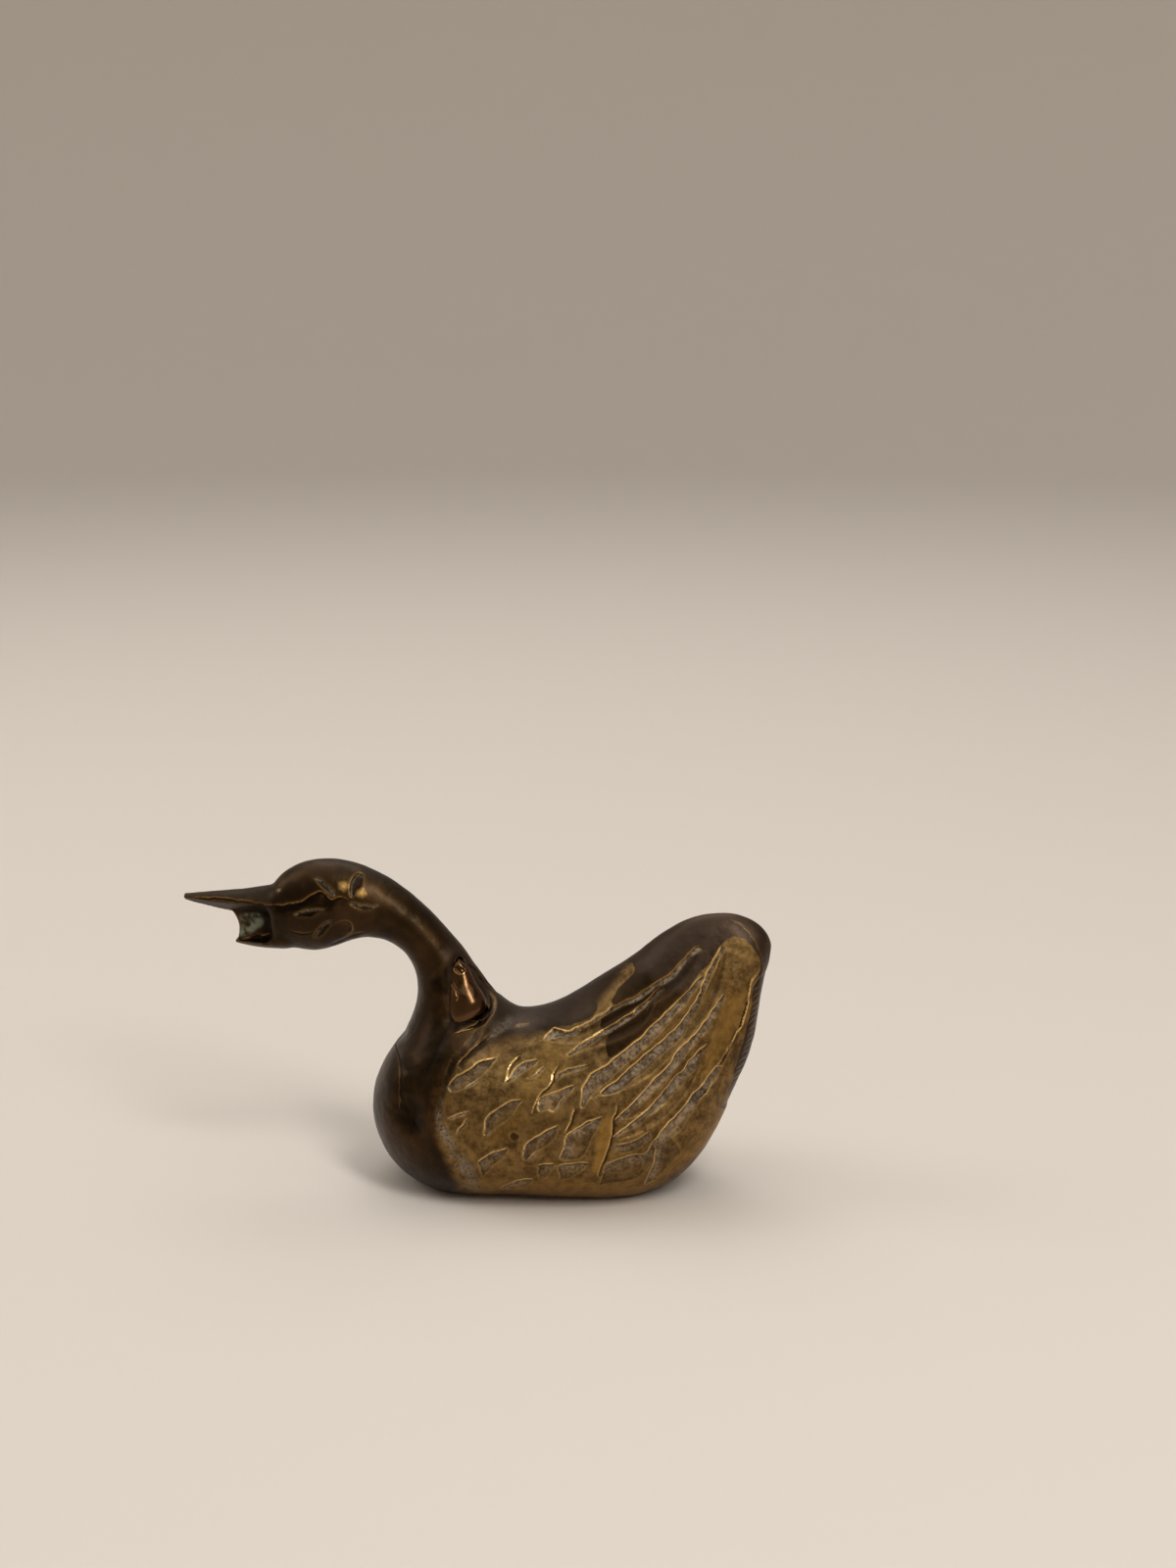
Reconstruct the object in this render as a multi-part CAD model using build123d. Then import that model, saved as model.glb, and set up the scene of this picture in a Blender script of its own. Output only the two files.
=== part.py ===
from build123d import *
import os

# A small cast brass duck, in millimetres. It faces -X, and its mid-plane is y = 0.
# The whole rounded form is drawn once, and the castings are cut out of it along their seams.

# Overall sizes
length = 63.0
height = 35.4
width = 23.0
half_width = width / 2
overrun = 5.0

# Walls of the hollow body
shell_wall = 1.5
floor_thickness = 1.9

# Lip of the breast casting, which the wing shells slip over
lip_thickness = 0.9
lip_reach = 1.6
lip_clearance = 0.05

# Carved primary feathers
feather_groove_width = 1.5
feather_groove_depth = 0.6

# Bill and mouth
web_thickness = 1.1
bill_root_half_width = 2.9
lower_bill_half_width = 2.5

# Shoulder bosses
boss_radius = 1.75
boss_seat_clearance = 0.12
boss_stem_diameter = 1.4
boss_stem_length = 2.2
boss_stem_clearance = 0.04

# Tail set between the wing shells
tail_step = 0.35
tongue_thickness = 1.6
tongue_height = 6.0
tongue_length = 4.0
tongue_clearance = 0.04

# Plate that closes the underside
plate_length = 15.0
plate_width = 7.0
plate_thickness = 1.2
plate_clearance = 0.05
plate_ledge = 0.9
vent_diameter = 2.0

# Core pins through the wing shells
pin_diameter = 0.8
pin_clearance = 0.02
pin_projection = 0.5

# Sections of the form from the bill's root to the tail. Each stands between a top and a bottom point.
# Top x, top z, bottom x, bottom z, half width, level of the widest place, fullness above and below it.
form_shares = [
    (-0.346, 0.910, -0.346, 0.720, 0.226, 0.50, 0.63, 0.63),
    (-0.312, 0.966, -0.316, 0.716, 0.287, 0.50, 0.63, 0.63),
    (-0.249, 0.992, -0.267, 0.710, 0.330, 0.50, 0.63, 0.63),
    (-0.173, 0.960, -0.200, 0.749, 0.296, 0.50, 0.63, 0.63),
    (-0.105, 0.881, -0.141, 0.737, 0.252, 0.50, 0.63, 0.63),
    (-0.049, 0.782, -0.110, 0.681, 0.252, 0.50, 0.63, 0.63),
    (-0.006, 0.684, -0.100, 0.588, 0.304, 0.50, 0.63, 0.63),
    (0.029, 0.596, -0.124, 0.463, 0.461, 0.48, 0.61, 0.62),
    (0.051, 0.556, -0.171, 0.322, 0.696, 0.46, 0.58, 0.60),
    (0.071, 0.535, -0.159, 0.102, 0.861, 0.45, 0.55, 0.56),
    (0.095, 0.535, -0.079, -0.014, 0.957, 0.43, 0.52, 0.54),
    (0.133, 0.556, 0.040, -0.025, 1.000, 0.41, 0.50, 0.54),
    (0.190, 0.619, 0.167, -0.025, 0.974, 0.39, 0.48, 0.55),
    (0.267, 0.715, 0.284, -0.014, 0.852, 0.37, 0.47, 0.56),
    (0.344, 0.819, 0.368, 0.068, 0.643, 0.36, 0.48, 0.58),
    (0.419, 0.853, 0.433, 0.266, 0.417, 0.40, 0.54, 0.62),
    (0.475, 0.825, 0.474, 0.469, 0.243, 0.48, 0.60, 0.63),
    (0.494, 0.788, 0.486, 0.625, 0.120, 0.50, 0.63, 0.63),
    (0.500, 0.755, 0.496, 0.700, 0.040, 0.50, 0.63, 0.63),
]

# Weights of the six control points at the middle of a section's side, and their spread about it
weights = (1, 5, 10, 10, 5, 1)
control_spread_share = 0.265

# Where the lines that run along the flank cross each section: along the back, the waist and the belly
flank_line_shares = (0.0, 0.5, 1.0)

# The body is hollow through the sections whose tops lie between these places, and its core has corners
hollow_front_share = 0.06
hollow_back_share = 0.40
core_corner_shares = (0.0, 0.25, 0.5, 0.75, 1.0)

# Seam between the breast casting and the wing shells, from above the saddle to below the foot
breast_seam_shares = [
    (0.063, 0.640), (0.017, 0.525), (-0.033, 0.441), (-0.054, 0.325),
    (-0.038, 0.226), (-0.006, 0.130), (0.014, 0.034), (0.025, -0.100),
]

# Rear margin of the wing shells, where the tail shows between its two notches
tail_seam_shares = [
    (0.520, 0.680), (0.476, 0.665), (0.460, 0.590), (0.443, 0.500),
    (0.421, 0.424), (0.404, 0.350), (0.420, 0.275), (0.470, 0.235),
]

# Primary grooves, from the front of the wing up to the tail, and the share of the full width of each
feather_shares = [
    ([(0.124, 0.497), (0.200, 0.545), (0.273, 0.619), (0.346, 0.703), (0.378, 0.766)], 0.75),
    ([(0.168, 0.469), (0.232, 0.531), (0.287, 0.588), (0.314, 0.638)], 0.60),
    ([(0.197, 0.362), (0.235, 0.424), (0.292, 0.506), (0.348, 0.593), (0.389, 0.678)], 1.00),
    ([(0.230, 0.373), (0.279, 0.438), (0.337, 0.523), (0.381, 0.613), (0.421, 0.771)], 0.85),
    ([(0.251, 0.297), (0.310, 0.367), (0.363, 0.466), (0.425, 0.633)], 0.95),
    ([(0.244, 0.237), (0.302, 0.305), (0.351, 0.395), (0.406, 0.523)], 0.90),
    ([(0.351, 0.299), (0.402, 0.398), (0.443, 0.500)], 0.55),
]

# Upper bill: x, ridge z, edge z, keel z and half width, from its root to its tip
upper_bill_shares = [
    (-0.325, 0.917, 0.868, 0.790, 1.00),
    (-0.360, 0.903, 0.865, 0.800, 0.88),
    (-0.400, 0.892, 0.863, 0.815, 0.72),
    (-0.450, 0.883, 0.863, 0.833, 0.48),
    (-0.500, 0.875, 0.866, 0.856, 0.16),
]

# Lower bill: x, lip z, bottom z and half width, from its root to its tip
lower_bill_shares = [
    (-0.320, 0.748, 0.710, 1.00),
    (-0.370, 0.741, 0.712, 0.80),
    (-0.413, 0.736, 0.724, 0.24),
]

# Thin web between the two bills, with its hollow front edge
web_root_share = -0.335
web_front_shares = [(-0.424, 0.838), (-0.405, 0.776), (-0.412, 0.727)]
web_foot_share = 0.722

# Boss axis on the left flank: x, y and z of its lower and upper ends
boss_foot_shares = (0.006, -0.300, 0.505)
boss_head_shares = (-0.029, -0.110, 0.702)

# Where the drop is widest and where it narrows, along its axis, and how far it narrows
boss_widest_share = 0.32
boss_neck_height_share = 0.72
boss_neck_share = 0.58
boss_stem_share = 0.40

# Places of the plate, of the tongue's outer end and of the core pins
plate_centre_share = 0.160
tongue_end_shares = (0.457, 0.530)
pin_place_shares = (0.086, 0.251)


def place(x_share, z_share, y=0.0):
    """A point given as shares of the length and of the height."""
    return Vector(x_share * length, y, z_share * height)


def section_side(shares, inset):
    """The right side of an egg-shaped section, one curve from its top to its bottom.

    The curve has six control points, and its middle lies at the level and the half width asked for.
    """
    top = place(shares[0], shares[1])
    bottom = place(shares[2], shares[3])
    rise = (top - bottom).normalized()
    frame = Plane(origin=bottom + rise * inset, x_dir=rise, z_dir=rise.cross(Vector(0, 1, 0)))
    tall = (top - bottom).length - 2 * inset
    wide = shares[4] * half_width - inset
    level, above, below = shares[5:]
    centre = (sum(weights) * level - weights[0] - weights[1]) / (weights[2] + weights[3])
    swell = (sum(weights) - weights[1] * above - weights[4] * below) / (weights[2] + weights[3])
    controls = [
        (tall, 0), (tall, wide * above), (tall * (centre + control_spread_share), wide * swell),
        (tall * (centre - control_spread_share), wide * swell), (0, wide * below), (0, 0),
    ]
    return frame * Bezier(*controls)


def form(inset=0.0):
    """The rounded form from the bill's root to the tail: one skin for each flank, closed at its ends.

    A skin runs through every section, and along the back, the waist and the belly.
    """
    sections = [section_side(shares, inset) for shares in form_shares]
    lines = [Spline(*[section @ step for section in sections]) for step in flank_line_shares]
    right = Face.make_gordon_surface(sections, lines)
    left = mirror(right, about=Plane.XZ).faces()[0]
    ends = [make_face([skin.edges().sort_by(Axis.X)[end] for skin in (right, left)]) for end in (0, -1)]
    return Solid(Shell([right, left] + [end.faces()[0] for end in ends]))


def core(inset):
    """The many-sided core that leaves the body hollow, flat below."""
    faces = []
    for shares in form_shares:
        if hollow_front_share < shares[0] < hollow_back_share:
            side = section_side(shares, inset)
            down = [side @ step for step in core_corner_shares]
            up = [Vector(point.X, -point.Y, point.Z) for point in reversed(down[1:-1])]
            faces.append(make_face(Polyline(*down, *up, close=True)))
    below = Box(2 * length, 2 * width, height, align=(Align.CENTER, Align.CENTER, Align.MAX))
    return loft(faces, ruled=True) - Pos(0, 0, floor_thickness) * below


def slab(outline, thickness):
    """A plate of the given thickness that stands astride the mid-plane, with its outline in x and z."""
    face = make_face(outline)
    return extrude(face, amount=thickness / 2, both=True)


def side_of(seam_shares, toward, shift=0.0):
    """Everything in front of a seam (toward -1) or behind it (toward 1), moved along x by a shift."""
    points = [place(x, z) + Vector(shift, 0, 0) for x, z in seam_shares]
    far = toward * length
    ceiling = height + overrun
    corners = [Vector(far, 0, points[-1].Z), Vector(far, 0, ceiling), Vector(points[0].X, 0, ceiling)]
    return slab(Spline(*points) + Polyline(points[-1], *corners, points[0]), width + overrun)


def upper_bill():
    """The upper bill: a low roof, a side edge and a keel below it."""
    faces = []
    for x, ridge, edge, keel, wide in upper_bill_shares:
        frame = Plane(origin=place(x, 0), x_dir=(0, 1, 0), z_dir=(1, 0, 0))
        half = wide * bill_root_half_width
        left, right = (-half, edge * height), (half, edge * height)
        roof = ThreePointArc(left, (0, ridge * height), right)
        faces.append(frame * make_face(roof + Polyline(right, (0, keel * height), left)))
    return loft(faces)


def lower_bill():
    """The lower bill: flat on top and rounded below."""
    faces = []
    for x, lip, bottom, wide in lower_bill_shares:
        frame = Plane(origin=place(x, 0), x_dir=(0, 1, 0), z_dir=(1, 0, 0))
        half = wide * lower_bill_half_width
        left, right = (-half, lip * height), (half, lip * height)
        faces.append(frame * make_face(ThreePointArc(left, (0, bottom * height), right) + Line(right, left)))
    return loft(faces)


def mouth_web():
    """The thin web that closes the mouth between the two bills."""
    top, middle, foot = [place(x, z) for x, z in web_front_shares]
    root = web_root_share * length
    back = [Vector(root, 0, web_foot_share * height), Vector(root, 0, top.Z)]
    return slab(ThreePointArc(top, middle, foot) + Polyline(foot, *back, top), web_thickness)


def boss_axis():
    """The lower and the upper end of the left boss."""
    foot = place(boss_foot_shares[0], boss_foot_shares[2], boss_foot_shares[1] * half_width)
    head = place(boss_head_shares[0], boss_head_shares[2], boss_head_shares[1] * half_width)
    return foot, head


def teardrop(grow=0.0):
    """The drop of the left boss: the outer half of a drop turned about its axis."""
    foot, head = boss_axis()
    long = (head - foot).length
    wide = boss_radius + grow
    widest = (wide, boss_widest_share * long)
    neck = (boss_neck_share * wide, boss_neck_height_share * long)
    lower = Spline((0, -grow), widest, tangents=[(1, 0), (0, 1)])
    upper = Spline(widest, neck, (0, long + grow), tangents=[(0, 1), (-1, 0)])
    outline = make_face(lower + upper + Line((0, long + grow), (0, -grow)))
    drop = revolve(Plane.XZ * outline, Axis.Z, revolution_arc=180)
    return Plane(origin=foot, x_dir=(-1, 0, 0), z_dir=head - foot) * drop


def boss_stem(grow=0.0):
    """The stem that pins the left boss to the shoulder."""
    foot, head = boss_axis()
    start = foot + (head - foot) * boss_stem_share
    circle = Plane(origin=start, z_dir=(0, 1, 0)) * Circle(boss_stem_diameter / 2 + grow)
    return extrude(circle, boss_stem_length + grow)


def rod_across(x_share, z_share, radius):
    """A rod from flank to flank."""
    start = place(x_share, z_share, -half_width - overrun)
    return extrude(Plane(origin=start, z_dir=(0, 1, 0)) * Circle(radius), width + 2 * overrun)


def feather_grooves():
    """The primary grooves of the left wing, sunk to an even depth below the skin."""
    cutters = []
    for shares, wide in feather_shares:
        upper = [place(x, z) for x, z in shares]
        drop = Vector(1, 0, -1).normalized() * wide * feather_groove_width
        lower = [upper[0]] + [point + drop for point in upper[1:-1]] + [upper[-1]]
        cutters.append(slab(Spline(*upper) + Spline(*reversed(lower)), width + overrun))
    return half_of(Part() + cutters, -1) - half_of(form(feather_groove_depth), -1)


def base_oval(shrink, bottom, top):
    """A piece of the oval opening under the wings, between two levels."""
    oval = Ellipse(plate_length / 2 - shrink, plate_width / 2 - shrink)
    return extrude(Pos(plate_centre_share * length, 0, bottom) * oval, top - bottom)


def tail_tongue(grow=0.0):
    """The zone of the tongue that holds the tail between the two wing shells."""
    x, z = tongue_end_shares
    plate = Box(tongue_length + 2 * grow, tongue_thickness + 2 * grow, tongue_height + 2 * grow)
    return Pos(x * length - tongue_length / 2, 0, z * height) * plate


def breast_and_head(whole):
    """Head, bill, neck and breast, cast as one, with the lip that enters the wing shells."""
    casting = (whole & side_of(breast_seam_shares, -1)) - core(shell_wall + lip_thickness)
    lip = core(shell_wall + lip_clearance) - core(shell_wall + lip_thickness)
    casting += lip & side_of(breast_seam_shares, -1, lip_reach)
    casting += upper_bill()
    casting += lower_bill()
    casting += mouth_web()
    for solid in (teardrop(boss_seat_clearance), boss_stem(boss_stem_clearance)):
        casting -= solid
        casting -= mirror(solid, about=Plane.XZ)
    return casting


def left_wing_shell(whole):
    """The left wing shell, with its feathers and every seat."""
    shell = half_of(whole, -1) - side_of(breast_seam_shares, -1) - side_of(tail_seam_shares, 1)
    shell -= core(shell_wall)
    shell -= feather_grooves()
    shell -= tail_tongue(tongue_clearance)
    shell -= teardrop(boss_seat_clearance)
    shell -= base_oval(0, -overrun, plate_thickness)
    shell -= base_oval(plate_ledge, -overrun, floor_thickness + overrun)
    shell -= rod_across(*pin_place_shares, pin_diameter / 2 + pin_clearance)
    return shell


def tail():
    """The tail piece, a step below the wings, with its tongue."""
    return (form(tail_step) & side_of(tail_seam_shares, 1)) + tail_tongue()


def base_plate():
    """The plate in its rebate, with a vent for the brazing."""
    plate = base_oval(plate_clearance, 0, plate_thickness - plate_clearance)
    vent = Pos(plate_centre_share * length, 0, 0) * Cylinder(vent_diameter / 2, height)
    return plate - vent


def core_pins(whole):
    """A pin through each wing shell, ground flush with the skin."""
    rod = rod_across(*pin_place_shares, pin_diameter / 2) & whole
    return rod - core(shell_wall + pin_projection)


def half_of(solid, side):
    """The half of a solid on one side of the mid-plane."""
    box = Box(2 * length, width, 3 * height, align=(Align.CENTER, Align.MIN, Align.CENTER))
    return solid & (box if side > 0 else mirror(box, about=Plane.XZ))


def main():
    os.makedirs("parts", exist_ok=True)
    above_floor = Box(2 * length, 2 * width, 2 * height, align=(Align.CENTER, Align.CENTER, Align.MIN))
    whole = form() & above_floor
    left_wing = left_wing_shell(whole)
    boss = teardrop() + boss_stem()
    nodes = {
        "head_neck_and_breast": breast_and_head(whole),
        "left_wing_shell": left_wing,
        "right_wing_shell": mirror(left_wing, about=Plane.XZ),
        "tail": tail(),
        "left_shoulder_boss": boss,
        "right_shoulder_boss": mirror(boss, about=Plane.XZ),
        "base_plate": base_plate(),
        "core_pins": core_pins(whole),
    }
    for name, solid in nodes.items():
        print(name, len(solid.solids()), round(solid.volume, 1), solid.is_valid)
        export_step(solid, f"parts/{name}.step")


if __name__ == "__main__":
    main()
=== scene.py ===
# %% [markdown]
# # A worn brass duck
#
# The duck is a small hollow ornament, brazed together from a few castings and then carved, chased and
# polished by hand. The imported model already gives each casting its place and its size. What it lacks
# is the work of the file and the chisel, and years of handling, and that is what this lesson adds.
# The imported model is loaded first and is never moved, so each visible piece has something to sit on.

# %% The fixed frame
import math

import bpy
import numpy as np
from mathutils import Matrix, Vector, noise
from mathutils.bvhtree import BVHTree


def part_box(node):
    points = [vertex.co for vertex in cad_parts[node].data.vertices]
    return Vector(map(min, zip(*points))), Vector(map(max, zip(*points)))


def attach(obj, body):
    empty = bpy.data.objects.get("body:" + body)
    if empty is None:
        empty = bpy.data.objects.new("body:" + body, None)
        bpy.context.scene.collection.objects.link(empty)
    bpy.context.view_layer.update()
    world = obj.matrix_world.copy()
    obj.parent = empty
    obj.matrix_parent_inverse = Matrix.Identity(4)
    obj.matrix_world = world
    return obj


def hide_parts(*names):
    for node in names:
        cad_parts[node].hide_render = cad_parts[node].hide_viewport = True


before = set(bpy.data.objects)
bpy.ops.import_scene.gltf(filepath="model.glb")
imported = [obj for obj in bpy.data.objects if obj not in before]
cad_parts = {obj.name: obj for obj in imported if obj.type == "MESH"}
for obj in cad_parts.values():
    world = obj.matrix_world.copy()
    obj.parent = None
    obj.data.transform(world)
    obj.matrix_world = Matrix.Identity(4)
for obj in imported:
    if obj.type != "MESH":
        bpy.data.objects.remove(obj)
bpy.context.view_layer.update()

mm = 0.001

# %% [markdown]
# ## The camera
#
# Every carved mark will be read off the photograph, so the camera has to be the photograph's own:
# its height, its turn and its lens decide where a mark lands on the metal. A camera could be aimed by
# eye with a constraint. Here it is placed by its pitch, its azimuth and the pixel where the middle of
# the foot shows, because the same few numbers also turn a pixel back into a ray in space.

# %% A camera that matches the photograph
frame_px = (1200, 1600)
focal_px = 2400
foot_px = (488, 1197)
camera_turn = math.radians(5)
camera_pitch = math.radians(13)
camera_reach = 257 * mm

ahead = np.array([-math.sin(camera_turn) * math.cos(camera_pitch),
                  math.cos(camera_turn) * math.cos(camera_pitch), -math.sin(camera_pitch)])
across = np.array([math.cos(camera_turn), math.sin(camera_turn), 0.0])
upward = np.cross(across, ahead)


def ray_through(pixel):
    """The direction from the camera through a pixel of the photograph."""
    right, down = (np.array(pixel) - np.array(frame_px) / 2) / focal_px
    return ahead + right * across - down * upward


eye = -ray_through(foot_px) * camera_reach

camera_data = bpy.data.cameras.new("camera")
camera_data.sensor_width = 36
camera_data.lens = focal_px / frame_px[1] * camera_data.sensor_width
camera_data.clip_start = 0.01
camera = bpy.data.objects.new("camera", camera_data)
turned = Matrix(np.column_stack([across, upward, -ahead]).tolist()).to_4x4()
camera.matrix_world = Matrix.Translation(Vector(eye.tolist())) @ turned
bpy.context.scene.collection.objects.link(camera)
bpy.context.scene.camera = camera
bpy.context.scene.view_settings.view_transform = "Standard"
print("camera at", [round(value, 4) for value in eye], "lens", round(camera_data.lens, 2))

# %% [markdown]
# ## Shader maths as plain sums
#
# A procedural finish is mostly arithmetic on masks. Wiring that by hand hides the sums among the
# nodes. A small wrapper round a socket lets Python's own signs add the Math nodes, so that a mask can
# be written the way it is thought, and one method makes every other kind of node.

# %% A socket that can be reckoned with


class Shade:
    """A value in a shader. Sums with it add Math nodes to its tree."""

    def __init__(self, tree, socket=None):
        self.tree = tree
        self.socket = socket

    def node(self, kind, settings=None, values=None, out=0):
        """Any node: its settings first, then the values or links of its sockets."""
        made = self.tree.nodes.new(kind)
        for name, value in (settings or {}).items():
            setattr(made, name, value)
        for name, value in (values or {}).items():
            if isinstance(value, Shade):
                self.tree.links.new(value.socket, made.inputs[name])
            else:
                made.inputs[name].default_value = value
        return Shade(self.tree, made.outputs[out])

    def sum(self, operation, first, second=0.0, clamp=False):
        """One Math node."""
        settings = {"operation": operation, "use_clamp": clamp}
        return self.node("ShaderNodeMath", settings, {0: first, 1: second})

    def __add__(self, other):
        return self.sum("ADD", self, other)

    def __sub__(self, other):
        return self.sum("SUBTRACT", self, other)

    def __rsub__(self, other):
        return self.sum("SUBTRACT", other, self)

    def __mul__(self, other):
        return self.sum("MULTIPLY", self, other)

    __radd__ = __add__
    __rmul__ = __mul__

    def clipped(self):
        """Kept between 0 and 1."""
        return self.sum("ADD", self, 0.0, clamp=True)

    def step(self, low, high):
        """0 below low, 1 above high, and smooth between."""
        return self.node("ShaderNodeMapRange", {"interpolation_type": "SMOOTHSTEP"},
                         {"Value": self, "From Min": low, "From Max": high})

    def painted(self, name):
        """What was stored on the mesh's points under a name."""
        return self.node("ShaderNodeAttribute", {"attribute_name": name}, out="Fac")

    def blend(self, share, below, above):
        """One colour over another, by a share."""
        return self.node("ShaderNodeMix", {"data_type": "RGBA"}, {0: share, 6: below, 7: above}, out=2)


def colour(red, green, blue):
    """A colour as a screen shows it, 0 to 255, made linear."""
    shares = [value / 255 for value in (red, green, blue)]
    linear = [s / 12.92 if s <= 0.04045 else ((s + 0.055) / 1.055) ** 2.4 for s in shares]
    return (*linear, 1.0)


def new_material(name):
    """A material with its Principled shader, and a Shade to start sums from."""
    made = bpy.data.materials.new(name)
    made.use_nodes = True
    return made, made.node_tree.nodes["Principled BSDF"], Shade(made.node_tree)


def feed(shade, shader, socket):
    """Links a Shade to one of the shader's own sockets."""
    shade.tree.links.new(shade.socket, shader.inputs[socket])


print("a mid grey, made linear:", round(colour(128, 128, 128)[0], 3))

# %% [markdown]
# ## The floor and the light
#
# Brass shows its surroundings more than its own colour, so the surroundings come first. One sheet
# behind the duck would do for a single picture, but from the other side its edge would show. A wide,
# pale bowl looks the same from all round. A large canopy lights it evenly from above, a narrow lamp at
# the right gives the long highlights, and two weak ones lift the left and the back out of the dark.

# %% A pale bowl to stand in
floor_radius = 0.80
curve_radius = 0.40
wall_height = 1.20
curve_steps = 24
round_steps = 96
floor_colour = colour(214, 204, 192)
floor_roughness = 0.9

profile = [(floor_radius, 0.0)]
for index in range(1, curve_steps + 1):
    angle = math.pi / 2 * index / curve_steps
    rise = curve_radius * (1 - math.cos(angle))
    profile.append((floor_radius + curve_radius * math.sin(angle), rise))
profile.append((floor_radius + curve_radius, wall_height))
turns = [2 * math.pi * k / round_steps for k in range(round_steps)]
points = [(reach * math.cos(turn), reach * math.sin(turn), z) for reach, z in profile for turn in turns]
quads = []
for ring in range(len(profile) - 1):
    for k in range(round_steps):
        here, beside = ring * round_steps + k, ring * round_steps + (k + 1) % round_steps
        quads.append((here, here + round_steps, beside + round_steps, beside))
bowl_mesh = bpy.data.meshes.new("bowl")
bowl_mesh.from_pydata(points, [], quads + [tuple(range(round_steps))])
bowl_mesh.shade_smooth()
bowl = bpy.data.objects.new("bowl", bowl_mesh)
bpy.context.scene.collection.objects.link(bowl)
pale_floor, floor_shader, _ = new_material("pale_floor")
floor_shader.inputs["Base Color"].default_value = floor_colour
floor_shader.inputs["Roughness"].default_value = floor_roughness
bowl_mesh.materials.append(pale_floor)
print("bowl:", len(points), "points")

# %% Lamps and sky


def soft_lamp(name, place, target, size, power):
    """A lamp of a width and a height that faces a point."""
    data = bpy.data.lights.new(name, "AREA")
    data.shape = "RECTANGLE"
    data.size, data.size_y = size
    data.energy = power
    lamp = bpy.data.objects.new(name, data)
    lamp.location = place
    lamp.rotation_euler = (Vector(target) - Vector(place)).to_track_quat("-Z", "Y").to_euler()
    bpy.context.scene.collection.objects.link(lamp)
    return lamp


body_middle = (0.0, 0.0, 0.015)
sky_colour = colour(206, 206, 210)
sky_strength = 0.15
lamps = [
    soft_lamp("canopy", (0.0, 0.05, 1.15), (0.0, 0.05, 0.0), size=(1.6, 1.6), power=7.4),
    soft_lamp("window", (0.24, -0.30, 0.42), body_middle, size=(0.10, 0.36), power=1.45),
    soft_lamp("left_glow", (-0.42, 0.02, 0.34), body_middle, size=(0.26, 0.26), power=0.5),
    soft_lamp("back_glow", (-0.05, 0.30, 0.48), body_middle, size=(0.34, 0.34), power=0.6),
]

world = bpy.data.worlds.new("sky")
world.use_nodes = True
world.node_tree.nodes["Background"].inputs["Color"].default_value = sky_colour
world.node_tree.nodes["Background"].inputs["Strength"].default_value = sky_strength
bpy.context.scene.world = world
print("lamps:", [lamp.name for lamp in lamps])

# %% [markdown]
# ## One skin over the castings
#
# On the real duck the brazed seams were filed flush, so the eye sees one metal skin, and only the
# rough seam in front of the wing gives the joints away. Dressing each casting by itself would leave a
# hair line at every joint. The castings are joined for a moment, covered by one fine voxel skin, and
# carved as one. At the end the skin is cut apart again, each patch going to the casting below it.

# %% Join, cover and smooth
skin_voxel = 0.12
skin_fairing = 4
skin_castings = ["head_neck_and_breast", "left_wing_shell", "right_wing_shell", "tail", "base_plate",
                 "core_pins"]


def mesh_arrays(mesh):
    """A mesh's points in millimetres, and its polygons."""
    flat = np.zeros(len(mesh.vertices) * 3)
    mesh.vertices.foreach_get("co", flat)
    return flat.reshape(-1, 3) / mm, [tuple(polygon.vertices) for polygon in mesh.polygons]


def joined(names):
    """The points and polygons of several castings in one list, with each polygon's owner."""
    points, polygons, owners = [], [], []
    count = 0
    for name in names:
        part_points, part_polygons = mesh_arrays(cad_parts[name].data)
        points.append(part_points)
        polygons += [tuple(index + count for index in polygon) for polygon in part_polygons]
        owners += [name] * len(part_polygons)
        count += len(part_points)
    return np.concatenate(points), polygons, owners


def vent_plug():
    """A stopper for the base plate's vent, so that no skin forms inside the body."""
    low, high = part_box("base_plate")
    middle = (low + high) / 2 / mm
    reach = 1.2
    corners = [(middle.x + dx * reach, middle.y + dy * reach, z)
               for z in (0.0, high.z / mm) for dx, dy in ((-1, -1), (1, -1), (1, 1), (-1, 1))]
    faces = [(3, 2, 1, 0), (4, 5, 6, 7), (0, 1, 5, 4), (1, 2, 6, 5), (2, 3, 7, 6), (3, 0, 4, 7)]
    return np.array(corners), faces


def voxel_skin(points, polygons, voxel):
    """A closed skin of even small quads round a solid, in millimetres."""
    source = bpy.data.meshes.new("source")
    source.from_pydata(points.tolist(), [], polygons)
    carrier = bpy.data.objects.new("source", source)
    bpy.context.scene.collection.objects.link(carrier)
    remesh = carrier.modifiers.new("skin", "REMESH")
    remesh.mode = "VOXEL"
    remesh.voxel_size = voxel
    depsgraph = bpy.context.evaluated_depsgraph_get()
    skin = bpy.data.meshes.new_from_object(carrier.evaluated_get(depsgraph))
    bpy.data.objects.remove(carrier)
    bpy.data.meshes.remove(source)
    flat = np.zeros(len(skin.vertices) * 3)
    skin.vertices.foreach_get("co", flat)
    corners = np.zeros(len(skin.loops), int)
    skin.loops.foreach_get("vertex_index", corners)
    bpy.data.meshes.remove(skin)
    points, quads = flat.reshape(-1, 3), corners.reshape(-1, 4)
    return Neighbours(len(points), quads).faired(points, skin_fairing), quads


def edges_of(quads):
    """The four edges of every quad, as pairs of points in the quad's own direction."""
    return np.concatenate([quads[:, [0, 1]], quads[:, [1, 2]], quads[:, [2, 3]], quads[:, [3, 0]]])


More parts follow.
